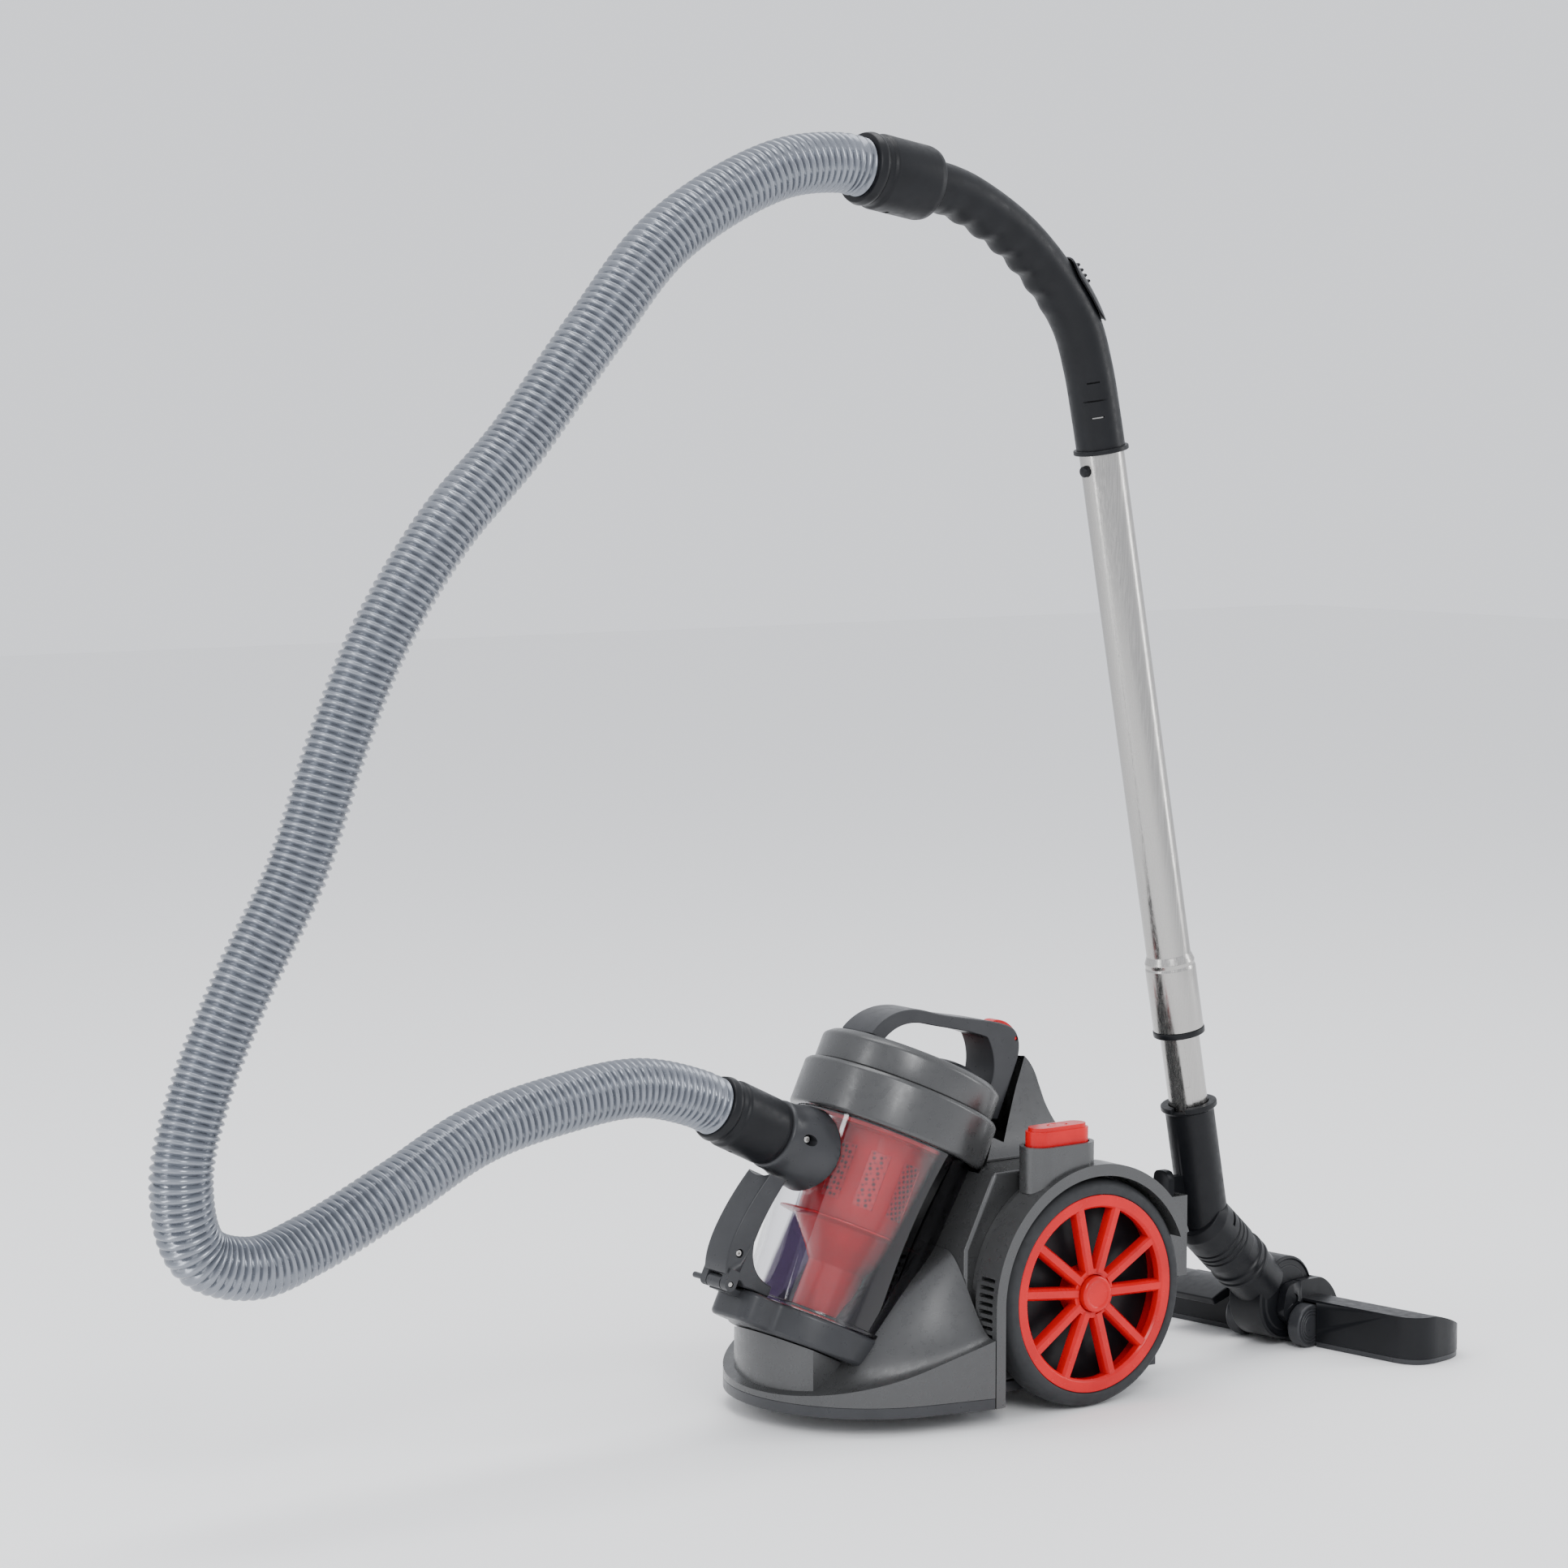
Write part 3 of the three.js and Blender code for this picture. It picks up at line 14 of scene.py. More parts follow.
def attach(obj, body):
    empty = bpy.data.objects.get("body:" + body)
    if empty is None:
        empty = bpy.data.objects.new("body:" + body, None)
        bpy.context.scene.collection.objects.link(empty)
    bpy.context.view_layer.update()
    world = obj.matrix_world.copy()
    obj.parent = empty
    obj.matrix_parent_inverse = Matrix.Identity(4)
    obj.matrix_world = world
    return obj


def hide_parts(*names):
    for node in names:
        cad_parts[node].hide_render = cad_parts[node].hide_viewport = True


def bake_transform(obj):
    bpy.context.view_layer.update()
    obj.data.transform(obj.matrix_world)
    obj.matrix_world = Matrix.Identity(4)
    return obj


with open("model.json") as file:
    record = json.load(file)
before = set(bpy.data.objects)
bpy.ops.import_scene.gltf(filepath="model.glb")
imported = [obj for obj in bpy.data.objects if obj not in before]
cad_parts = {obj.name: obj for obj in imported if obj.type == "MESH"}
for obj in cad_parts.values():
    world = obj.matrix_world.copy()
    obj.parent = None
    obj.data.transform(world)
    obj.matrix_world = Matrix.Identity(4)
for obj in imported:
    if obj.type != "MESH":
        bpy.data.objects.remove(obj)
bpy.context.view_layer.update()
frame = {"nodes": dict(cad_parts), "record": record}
joints = {joint["name"]: joint for joint in frame["record"]["behaviour"]["joints"]}

# ------------------------------------------------------------------ driving dimensions
GAP = 0.3
SIDES = 96

WHEEL_RADIUS = 88
WHEEL_INSIDE = 90
WHEEL_OUTSIDE = 118
RIM_RADIUS = 76
HUB_RADIUS = 19
SPOKE_PAIRS = 5
SPOKE_SPREAD = 20
FIRST_SPOKES = 122

BODY_HALF = 83.5
FLARE_HALF = 120
BODY_REAR = 92
FLARE_X = -101
NOSE_X = -130
NOSE_RADIUS = 110
BASE_BOTTOM = 14
TRAY_TOP = 22
WALL = 3
ROOF_RADIUS = 96
ROOF_TOP = 184
ARCH_RADIUS = 100
ARCH_INSIDE = 95
TOWER_TOP = 262

BIN_X, BIN_Z, BIN_LEAN = -178, 70, 26
BIN_LENGTH = 150
BIN_BOTTOM_RADIUS = 60
BIN_TOP_RADIUS = 70
BIN_WALL = 2.5
LID_DEPTH = 24
HINGE_REACH = 101
TONGUE_HALF = 26
CAP_RADIUS = 78
CAP_BOTTOM = 149
CAP_TOP = 187
CROWN_RADIUS = 72
CROWN_TOP = 213
INLET_HEIGHT = 115
INLET_REACH = 104
INLET_RADIUS = 27
BORE = 19
CUFF_RADIUS = 26
CUFF_LENGTH = 50
NUT_LENGTH = 8

HOSE_DIAMETER = 44
HOSE_PITCH = 5.7

WAND_X, WAND_Y, WAND_Z, WAND_LEAN = 157.5, -47, 210, 10.6
NECK_LENGTH = 101
INNER_TUBE_RADIUS = 15.5
OUTER_TUBE_RADIUS = 17.5
SLEEVE_RADIUS = 20
SLEEVE_BOTTOM = 62
SLEEVE_TOP = 118
OUTER_TUBE_TOP = 554
INNER_TUBE_TOP = 504
NECK_RADIUS = 19.5
GRIP_RADIUS = 19
GRIP_START = 525
SNAP_HEIGHT = 513

ELBOW_TILT, HEAD_TURN = 50, 8
ELBOW_REACH = 112
DRUM_RADIUS, DRUM_HALF = 34, 17
NOZZLE_FACE, NOZZLE_LENGTH, NOZZLE_DEPTH, NOZZLE_HEIGHT = 10, 284, 72, 38
ROLLER_RADIUS = 17.5

# ------------------------------------------------------------------ places
axle_place = joints["wheel_right_roll"]["pos_m"]
tilt_place = joints["head_tilt"]["pos_m"]
MACHINE = Matrix.Translation((axle_place[0], axle_place[1], 0)) @ Matrix.Scale(0.001, 4)


def at(parent, x, y, z, turn_y=0.0, turn_z=0.0):
    turn = Matrix.Rotation(math.radians(turn_z), 4, "Z") @ Matrix.Rotation(math.radians(turn_y), 4, "Y")
    return parent @ Matrix.Translation((x, y, z)) @ turn


AXLE = at(MACHINE, 0, 0, WHEEL_RADIUS)
BIN = at(MACHINE, BIN_X, 0, BIN_Z, BIN_LEAN)
INLET = at(BIN, -INLET_REACH, 0, INLET_HEIGHT, -90)
WAND = at(MACHINE, WAND_X, WAND_Y, WAND_Z, -WAND_LEAN)
GRIP_LINE = [
    (0, 0, GRIP_START), (-0.5, 0, 554), (-2, 0, 590), (-8, 0, 626), (-26, 0, 662),
    (-56, 0, 701), (-96, 0, 734), (-117, 0, 745.6), (-134, 0, 751.8),
]
MOUTH = at(at(WAND, *GRIP_LINE[-1], -70), 0, 0, 1)
HEAD = Matrix.Translation(tilt_place) @ at(Matrix.Scale(0.001, 4), 0, 0, 0, 0, HEAD_TURN)
SWIVEL = at(HEAD, 0, 0, 0, -ELBOW_TILT)
GROUND = -tilt_place[2] * 1000
Y_AXIS = Matrix.Rotation(math.radians(-90), 4, "X")
TILT_AXIS = HEAD @ Y_AXIS


# ------------------------------------------------------------------ meshes
def build(name, verts, faces, matrix):
    mesh = bpy.data.meshes.new(name)
    mesh.from_pydata([matrix @ Vector(vert) for vert in verts], [], faces)
    work = bmesh.new()
    work.from_mesh(mesh)
    bmesh.ops.recalc_face_normals(work, faces=work.faces)
    work.to_mesh(mesh)
    work.free()
    obj = bpy.data.objects.new(name, mesh)
    bpy.context.scene.collection.objects.link(obj)
    return obj


def arc(cx, cy, radius, start, end, steps=12):
    angles = [math.radians(start + (end - start) * i / steps) for i in range(steps + 1)]
    return [(cx + radius * math.cos(angle), cy + radius * math.sin(angle)) for angle in angles]


def bezier(*points, steps=12):
    """A Bezier curve of any degree, its first point left out."""
    line = []
    for i in range(1, steps + 1):
        level = [Vector(point) for point in points]
        while len(level) > 1:
            level = [a.lerp(b, i / steps) for a, b in zip(level, level[1:])]
        line.append(tuple(level[0]))
    return line


def rounded(points, radius, closed=True, steps=3):
    """The outline with each corner rounded; an open one keeps its two ends."""
    result = []
    count = len(points)
    for i, point in enumerate(points):
        here = Vector(point)
        if not closed and i in (0, count - 1):
            result.append(tuple(here))
            continue
        before = Vector(points[i - 1]) - here
        after = Vector(points[(i + 1) % count]) - here
        reach = min(radius, before.length * 0.45, after.length * 0.45)
        if before.angle(after, math.pi) > math.radians(170):
            result.append(tuple(here))
            continue
        start = here + before.normalized() * reach
        end = here + after.normalized() * reach
        result.append(tuple(start))
        result.extend(bezier(start, here, end, steps=steps))
    return result


def lathe(name, profile, matrix, soft=0.8, sides=SIDES):
    """A solid of revolution about Z from (radius, height) points, its corners rounded by soft."""
    closed = profile[0][0] > 0 or profile[-1][0] > 0
    if soft:
        profile = rounded(profile, soft, closed)
    verts, rows = [], []
    for radius, height in profile:
        count = sides if radius > 1e-6 else 1
        rows.append(range(len(verts), len(verts) + count))
        for i in range(count):
            angle = 2 * math.pi * i / sides
            verts.append((radius * math.cos(angle), radius * math.sin(angle), height))
    faces = []
    pairs = list(zip(rows, rows[1:]))
    if closed:
        pairs.append((rows[-1], rows[0]))
    for low, high in pairs:
        for i in range(sides):
            j = (i + 1) % sides
            corners = [low[i % len(low)], low[j % len(low)], high[j % len(high)], high[i % len(high)]]
            face = list(dict.fromkeys(corners))
            if len(face) > 2:
                faces.append(face)
    return build(name, verts, faces, matrix)


def rod(radius, low, high, matrix, sides=SIDES):
    return lathe("rod", [(0, low), (radius, low), (radius, high), (0, high)], matrix, 0, sides)


PLANES = {
    "xy": lambda u, v, w: (u, v, w),
    "xz": lambda u, v, w: (u, w, v),
    "yz": lambda u, v, w: (w, u, v),
}


def prism(name, outline, low, high, matrix, plane="xy"):
    """An outline in one plane drawn out from low to high along the third axis."""
    count = len(outline)
    spot = PLANES[plane]
    verts = [spot(u, v, low) for u, v in outline] + [spot(u, v, high) for u, v in outline]
    faces = [list(range(count)), list(range(count, 2 * count))]
    faces += [[i, (i + 1) % count, count + (i + 1) % count, count + i] for i in range(count)]
    return build(name, verts, faces, matrix)


def block(name, xs, ys, zs, matrix):
    return prism(name, [(xs[0], ys[0]), (xs[1], ys[0]), (xs[1], ys[1]), (xs[0], ys[1])], *zs, matrix)


def combine(obj, tools, operation):
    for tool in tools:
        modifier = obj.modifiers.new("combine", "BOOLEAN")
        modifier.operation = operation
        modifier.solver = "EXACT"
        modifier.object = tool
    graph = bpy.context.evaluated_depsgraph_get()
    mesh = bpy.data.meshes.new_from_object(obj.evaluated_get(graph))
    mesh.validate()
    obj.modifiers.clear()
    old = obj.data
    obj.data = mesh
    bpy.data.meshes.remove(old)
    for tool in tools:
        bpy.data.objects.remove(tool)
    return obj


def cut(obj, *tools):
    return combine(obj, tools, "DIFFERENCE")


def fuse(obj, *tools):
    return combine(obj, tools, "UNION")


def common(obj, *tools):
    return combine(obj, tools, "INTERSECT")


def bevel(obj, width, segments=3, angle=30):
    """Rounds the sharp edges, width in millimetres."""
    modifier = obj.modifiers.new("edges", "BEVEL")
    modifier.width = width * 0.001
    modifier.segments = segments
    modifier.limit_method = "ANGLE"
    modifier.angle_limit = math.radians(angle)
    modifier.use_clamp_overlap = True
    modifier.miter_outer = "MITER_ARC"
    return obj


def dress(obj, look, sharp=35):
    obj.data.materials.clear()
    obj.data.materials.append(look["material"])
    obj.data.shade_smooth()
    if not any(modifier.type == "BEVEL" for modifier in obj.modifiers):
        obj.data.set_sharp_from_angle(angle=math.radians(sharp))
    else:
        weighted = obj.modifiers.new("normals", "WEIGHTED_NORMAL")
        weighted.keep_sharp = True
        weighted.weight = 80


def piece(obj, look, body, *nodes, sharp=35):
    """Finishes a new piece: its look, the body that it rides on and the CAD nodes it stands for."""
    dress(obj, look, sharp)
    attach(obj, body)
    if nodes:
        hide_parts(*nodes)
    return obj


def keep(node, look, width=0.8):
    """A CAD node that stays, with softened edges and its own material."""
    obj = frame["nodes"][node]
    for slot in obj.material_slots:
        slot.material = look["material"]
    bevel(obj, width, 2)
    return obj


# ------------------------------------------------------------------ materials
def nodes_of(name):
    material = bpy.data.materials.new(name)
    material.use_nodes = True
    tree = material.node_tree
    return material, tree, tree.nodes["Principled BSDF"]


def noise(tree, scale, detail=4.0, stretch=(1, 1, 1), rotation=(0, 0, 0)):
    coords = tree.nodes.new("ShaderNodeTexCoord")
    mapping = tree.nodes.new("ShaderNodeMapping")
    mapping.inputs["Scale"].default_value = stretch
    mapping.inputs["Rotation"].default_value = rotation
    texture = tree.nodes.new("ShaderNodeTexNoise")
    texture.inputs["Scale"].default_value = scale
    texture.inputs["Detail"].default_value = detail
    tree.links.new(coords.outputs["Object"], mapping.inputs["Vector"])
    tree.links.new(mapping.outputs["Vector"], texture.inputs["Vector"])
    return texture.outputs["Fac"]


def ramp(tree, source, low, high, start=0.3, end=0.7):
    """Maps a texture's value from start..end to the colours or greys low..high."""
    blend = tree.nodes.new("ShaderNodeValToRGB")
    blend.color_ramp.elements[0].position = start
    blend.color_ramp.elements[1].position = end
    as_color = lambda value: (*value, 1) if hasattr(value, "__len__") else (value, value, value, 1)
    blend.color_ramp.elements[0].color = as_color(low)
    blend.color_ramp.elements[1].color = as_color(high)
    tree.links.new(source, blend.inputs["Fac"])
    return blend.outputs["Color"]


def bump(tree, shader, height, strength, distance):
    node = tree.nodes.new("ShaderNodeBump")
    node.inputs["Strength"].default_value = strength
    node.inputs["Distance"].default_value = distance
    tree.links.new(height, node.inputs["Height"])
    tree.links.new(node.outputs["Normal"], shader.inputs["Normal"])


def plastic(name, slot, color, roughness, grain=0.15, grain_scale=2600, variation=0.12, **sockets):
    """Moulded plastic: slight colour drift, uneven polish and a fine moulded grain."""
    material, tree, shader = nodes_of(name)
    darker = [channel * (1 - variation) for channel in color]
    lighter = [min(1, channel * (1 + variation)) for channel in color]
    tree.links.new(ramp(tree, noise(tree, 38), darker, lighter), shader.inputs["Base Color"])
    polish = ramp(tree, noise(tree, 160, 6), roughness * 0.8, roughness * 1.2)
    tree.links.new(polish, shader.inputs["Roughness"])
    bump(tree, shader, noise(tree, grain_scale, 2), grain, 0.0001)
    for socket, value in sockets.items():
        shader.inputs[socket.replace("_", " ")].default_value = value
    return {"material": material, "slot": slot}


def brushed(name, slot, color, roughness, rotation):
    """Drawn tube: fine lines along the tube in its shine and its surface."""
    material, tree, shader = nodes_of(name)
    lines = noise(tree, 900, 3, (1, 1, 0.012), rotation)
    tree.links.new(ramp(tree, lines, [c * 0.9 for c in color], color), shader.inputs["Base Color"])
    tree.links.new(ramp(tree, lines, roughness * 0.7, roughness * 1.5), shader.inputs["Roughness"])
    shader.inputs["Metallic"].default_value = 1
    shader.inputs["Anisotropic"].default_value = 0.4
    bump(tree, shader, lines, 0.05, 0.00003)
    return {"material": material, "slot": slot}


def across_container(tree):
    """A value that grows towards the container's rear and passes 0.5 where the smoked part starts."""
    slope, edge, steepness = 0.13, -20, 0.02
    inverse = BIN.inverted()
    rearward = inverse[0] - slope * inverse[2]
    coords = tree.nodes.new("ShaderNodeTexCoord")
    along = tree.nodes.new("ShaderNodeVectorMath")
    along.operation = "DOT_PRODUCT"
    along.inputs[1].default_value = rearward.xyz
    tree.links.new(coords.outputs["Object"], along.inputs[0])
    scaled = tree.nodes.new("ShaderNodeMath")
    scaled.operation = "MULTIPLY_ADD"
    scaled.inputs[1].default_value = steepness
    scaled.inputs[2].default_value = 0.5 + steepness * (rearward.w - edge)
    tree.links.new(along.outputs["Value"], scaled.inputs[0])
    return scaled.outputs[0]


def clear_plastic(name, slot, color, smoke, roughness=0.012):
    """Clear in front and smoked at the rear, with a slight haze."""
    material, tree, shader = nodes_of(name)
    shader.inputs["Transmission Weight"].default_value = 1
    shader.inputs["IOR"].default_value = 1.49
    haze = ramp(tree, noise(tree, 22, 5), roughness * 0.6, roughness * 2.4)
    tree.links.new(haze, shader.inputs["Roughness"])
    bump(tree, shader, noise(tree, 14, 1), 0.01, 0.0002)
    tint = ramp(tree, across_container(tree), color, smoke, 0.45, 0.55)
    tree.links.new(tint, shader.inputs["Base Color"])
    return {"material": material, "slot": slot}


TUBE_TURN = (0, math.radians(WAND_LEAN), 0)
GUNMETAL = plastic("gunmetal_plastic", "gunmetal", (0.080, 0.081, 0.082), 0.3, grain=0.03, variation=0.03,
                   Metallic=0.6, Specular_IOR_Level=0.3)
DARK_GREY = plastic("dark_grey_plastic", "dark_grey", (0.030, 0.031, 0.034), 0.33,
                    Specular_IOR_Level=0.3)
BLACK = plastic("black_plastic", "black", (0.007, 0.0075, 0.009), 0.36, Specular_IOR_Level=0.2)
SATIN_BLACK = plastic("satin_black_plastic", "black", (0.006, 0.0065, 0.008), 0.42, grain=0.3,
                      Specular_IOR_Level=0.2)
RED = plastic("red_plastic", "red", (0.52, 0.002, 0.006), 0.24, grain=0.05, Specular_IOR_Level=0.25)
TYRE = plastic("tyre_rubber", "tyre", (0.026, 0.027, 0.029), 0.62, grain=0.6, grain_scale=1500,
               Specular_IOR_Level=0.2)
SMOKE_RED = plastic("tinted_red_plastic", "smoke_red", (0.62, 0.003, 0.010), 0.2, Specular_IOR_Level=0.3)
SHROUD_RED = plastic("shroud_plastic", "smoke_red", (0.58, 0.004, 0.012), 0.18, Specular_IOR_Level=0.3)
HOSE_GREY = plastic("hose_plastic", "hose_grey", (0.20, 0.215, 0.245), 0.24, grain=0.02, variation=0.05,
                    Metallic=0.6)
STEEL = brushed("brushed_steel", "steel", (0.42, 0.41, 0.395), 0.22, TUBE_TURN)
MOTOR = plastic("motor_case", "motor", (0.55, 0.55, 0.56), 0.4, Metallic=1.0)
COPPER = plastic("motor_copper", "copper", (0.62, 0.36, 0.18), 0.35, Metallic=1.0)
CLEAR = clear_plastic("clear_plastic", "clear", (0.93, 0.93, 0.95), (0.05, 0.035, 0.07))


def mesh_look():
    material, tree, shader = nodes_of("filter_net_weave")
    coords = tree.nodes.new("ShaderNodeTexCoord")
    cells = tree.nodes.new("ShaderNodeTexVoronoi")
    cells.inputs["Scale"].default_value = 260
    cells.inputs["Randomness"].default_value = 0.1
    tree.links.new(coords.outputs["Object"], cells.inputs["Vector"])
    dark, light = (0.10, 0.002, 0.006), (0.60, 0.008, 0.02)
    weave = ramp(tree, cells.outputs["Distance"], dark, light, 0.25, 0.5)
    tree.links.new(weave, shader.inputs["Base Color"])
    shader.inputs["Roughness"].default_value = 0.35
    return {"material": material, "slot": "smoke_red"}


NET = mesh_look()


# ------------------------------------------------------------------ camera, light and floor
VIEW_AZIMUTH, VIEW_PITCH = -36.7, 5.3
CAMERA_PLACE = (-2008, -2414, 760)


def make_camera():
    azimuth, pitch = math.radians(VIEW_AZIMUTH), math.radians(VIEW_PITCH)
    right = Vector((math.cos(azimuth), math.sin(azimuth), 0))
    back = Vector((right.y * math.cos(pitch), -right.x * math.cos(pitch), math.sin(pitch)))
    up = back.cross(right)
    camera = bpy.data.objects.new("camera", bpy.data.cameras.new("camera"))
    camera.data.lens = 93.2
    camera.data.sensor_width = 36
    camera.data.clip_end = 50
    turn = Matrix((right, up, back)).transposed().to_4x4()
    camera.matrix_world = Matrix.Translation(MACHINE @ Vector(CAMERA_PLACE)) @ turn
    bpy.context.scene.collection.objects.link(camera)
    bpy.context.scene.camera = camera


def area_light(name, place, target, size, power):
    lamp = bpy.data.lights.new(name, "AREA")
    lamp.shape = "RECTANGLE"
    lamp.size, lamp.size_y = size
    lamp.energy = power
    obj = bpy.data.objects.new(name, lamp)
    obj.location = place
    obj.rotation_euler = (Vector(target) - Vector(place)).to_track_quat("-Z", "Y").to_euler()
    bpy.context.scene.collection.objects.link(obj)


def make_studio():
    world = bpy.data.worlds.new("studio")
    world.use_nodes = True
    world.node_tree.nodes["Background"].inputs["Color"].default_value = (0.93, 0.95, 1, 1)
    world.node_tree.nodes["Background"].inputs["Strength"].default_value = 1.25
    bpy.context.scene.world = world
    middle = (0, 0, 0.4)
    area_light("key", (-1.6, -2.6, 2.4), middle, (0.9, 1.8), 60)
    area_light("fill", (2.8, -1.6, 1.3), middle, (0.5, 2.2), 32)
    area_light("left_strip", (-3.0, 0.2, 1.2), middle, (0.5, 2.4), 36)
    area_light("top", (0, 0.6, 3.2), middle, (2.4, 1.6), 50)
    floor = block("floor", (-9000, 9000), (-9000, 9000), (-12, -0.3), MACHINE)
    material, tree, shader = nodes_of("pale_floor")
    shader.inputs["Base Color"].default_value = (0.93, 0.93, 0.93, 1)
    shader.inputs["Roughness"].default_value = 0.7
    floor.data.materials.append(material)


make_camera()
make_studio()


# ------------------------------------------------------------------ hose
def smooth_line(points, spacing):
    """A centripetal Catmull-Rom line through the points, as evenly spaced points."""
    points = [Vector(point) for point in points]
    ends = [points[0] * 2 - points[1], points[-1] * 2 - points[-2]]
    chain = [ends[0], *points, ends[1]]
    dense = []
    for p0, p1, p2, p3 in zip(chain, chain[1:], chain[2:], chain[3:]):
        t1 = (p1 - p0).length ** 0.5
        t2 = t1 + (p2 - p1).length ** 0.5
        t3 = t2 + (p3 - p2).length ** 0.5
        for i in range(24):
            t = t1 + (t2 - t1) * i / 24
            a1 = p0.lerp(p1, t / t1)
            a2 = p1.lerp(p2, (t - t1) / (t2 - t1))
            a3 = p2.lerp(p3, (t - t2) / (t3 - t2))
            b1 = a1.lerp(a2, t / t2)
            b2 = a2.lerp(a3, (t - t1) / (t3 - t1))
            dense.append(b1.lerp(b2, (t - t1) / (t2 - t1)))
    dense.append(points[-1])
    lengths = [0.0]
    for a, b in zip(dense, dense[1:]):
        lengths.append(lengths[-1] + (b - a).length)
    count = max(2, round(lengths[-1] / spacing))
    line, k = [], 0
    for i in range(count + 1):
        wanted = lengths[-1] * i / count
        while k < len(lengths) - 2 and lengths[k + 1] < wanted:
            k += 1
        span = lengths[k + 1] - lengths[k]
        line.append(dense[k].lerp(dense[k + 1], (wanted - lengths[k]) / span))
    return line, lengths[-1]


def ring_frames(line):
    """Two directions across the line at each point, without twist."""
    tangents = []
    for i in range(len(line)):
        tangents.append((line[min(i + 1, len(line) - 1)] - line[max(i - 1, 0)]).normalized())
    across = tangents[0].orthogonal().normalized()
    frames = []
    for tangent in tangents:
        across = (across - tangent * across.dot(tangent)).normalized()
        frames.append((across, tangent.cross(across)))
    return frames


def tube(name, line, frames, sides, outer, inner, matrix):
    """A tube along the line. outer and inner give the radius at a ring's number and an angle."""
    verts = []
    for radius in (outer, inner):
        for k, (centre, (u, v)) in enumerate(zip(line, frames)):
            for i in range(sides):
                angle = 2 * math.pi * i / sides
                size = radius(k, angle)
                verts.append(centre + (u * math.cos(angle) + v * math.sin(angle)) * size)
    rings = len(line)
    faces = []
    for start in (0, rings * sides):
        for k in range(rings - 1):
            low = start + k * sides
            for i in range(sides):
                j = (i + 1) % sides
                faces.append([low + i, low + j, low + sides + j, low + sides + i])
    for k in (0, rings - 1):
        for i in range(sides):
            j = (i + 1) % sides
            outside, inside = k * sides, (rings + k) * sides
            faces.append([outside + i, outside + j, inside + j, inside + i])
    return build(name, verts, faces, matrix)


HOSE_MIDDLE = [
    (-340, 0, 265), (-410, 0, 260), (-480, 0, 245), (-550, -5, 215), (-620, -5, 185),
    (-670, -10, 175), (-710, -10, 190), (-725, -15, 240), (-710, -15, 300), (-680, -20, 370),
    (-640, -25, 445), (-610, -30, 530), (-580, -35, 600), (-530, -40, 675), (-470, -40, 735),
    (-410, -45, 810), (-345, -45, 880), (-250, -47, 930),
]


def make_hose():
    to_machine = MACHINE.inverted()
    mouth = lambda place, height: to_machine @ (place @ Vector((0, 0, height)))
    lower_end = CUFF_LENGTH + NUT_LENGTH + GAP
    upper_end = lower_end + 4
    points = [mouth(INLET, lower_end), mouth(INLET, lower_end + 16), *HOSE_MIDDLE]
    points += [mouth(MOUTH, upper_end + 16), mouth(MOUTH, upper_end)]
    line, length = smooth_line(points, HOSE_PITCH / 8)
    frames = ring_frames(line)
    spacing = length / (len(line) - 1)
    crest, valley = HOSE_DIAMETER / 2, HOSE_DIAMETER / 2 - 3.4

    def outer(k, angle):
        turn = k * spacing / HOSE_PITCH - angle / (2 * math.pi)
        ridge = math.sqrt(0.5 + 0.5 * math.cos(2 * math.pi * turn))
        return valley + (crest - valley) * ridge

    def inner(k, angle):
        return valley - 1.4

    turning = min(range(len(line)), key=lambda k: line[k].x)
    spans = [("hose_lower", 0, turning), ("hose_upper", turning, len(line) - 1)]
    made = []
    for name, first, last in spans:
        part_line = line[first:last + 1]
        part_outer = lambda k, angle, first=first: outer(k + first, angle)
        obj = tube(name, part_line, frames[first:last + 1], 64, part_outer, inner, MACHINE)
        path = [tuple(MACHINE @ point) for point in part_line]
        made.append((obj, path, spacing * (last - first) / 1000))
    (lower, lower_path, lower_length), (upper, upper_path, upper_length) = made
    for obj in (lower, upper):
        dress(obj, HOSE_GREY, 60)
    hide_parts("hose")
    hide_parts("hose")
    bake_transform(lower)
    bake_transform(upper)


make_hose()


# ------------------------------------------------------------------ hose cuffs
def cuff(name, length, radius, place, body, *nodes):
    profile = [
        (BORE, GAP), (radius - 1.2, GAP), (radius, 5), (radius, length - 7), (radius - 1.8, length - 5),
        (radius - 1.8, length), (BORE, length),
    ]
    shell = lathe(name, profile, place, 1.2)
    tools = []
    for side in (1, -1):
        xs = sorted((side * (radius + 2), side * (radius - 3)))
        tools.append(prism("slot", rounded([(-4.5, length * 0.6), (4.5, length * 0.6),
                                            (4.5, length * 0.6 + 3), (-4.5, length * 0.6 + 3)], 1.4),
                           *xs, place, "yz"))
    piece(cut(shell, *tools), SATIN_BLACK, body, nodes[0])
    ring = [(BORE, length + GAP), (radius - 1, length + GAP), (radius - 0.6, length + 3),
            (radius - 2.2, length + NUT_LENGTH), (BORE, length + NUT_LENGTH)]
    piece(lathe(name + "_nut", ring, place, 1.0), BLACK, body, nodes[1])


cuff("hose_cuff_lower", CUFF_LENGTH, CUFF_RADIUS, INLET, "lower_swivel", "lower_cuff", "lower_nut")
cuff("hose_cuff_upper", CUFF_LENGTH + 4, CUFF_RADIUS + 2, MOUTH, "upper_swivel", "upper_cuff", "upper_nut")


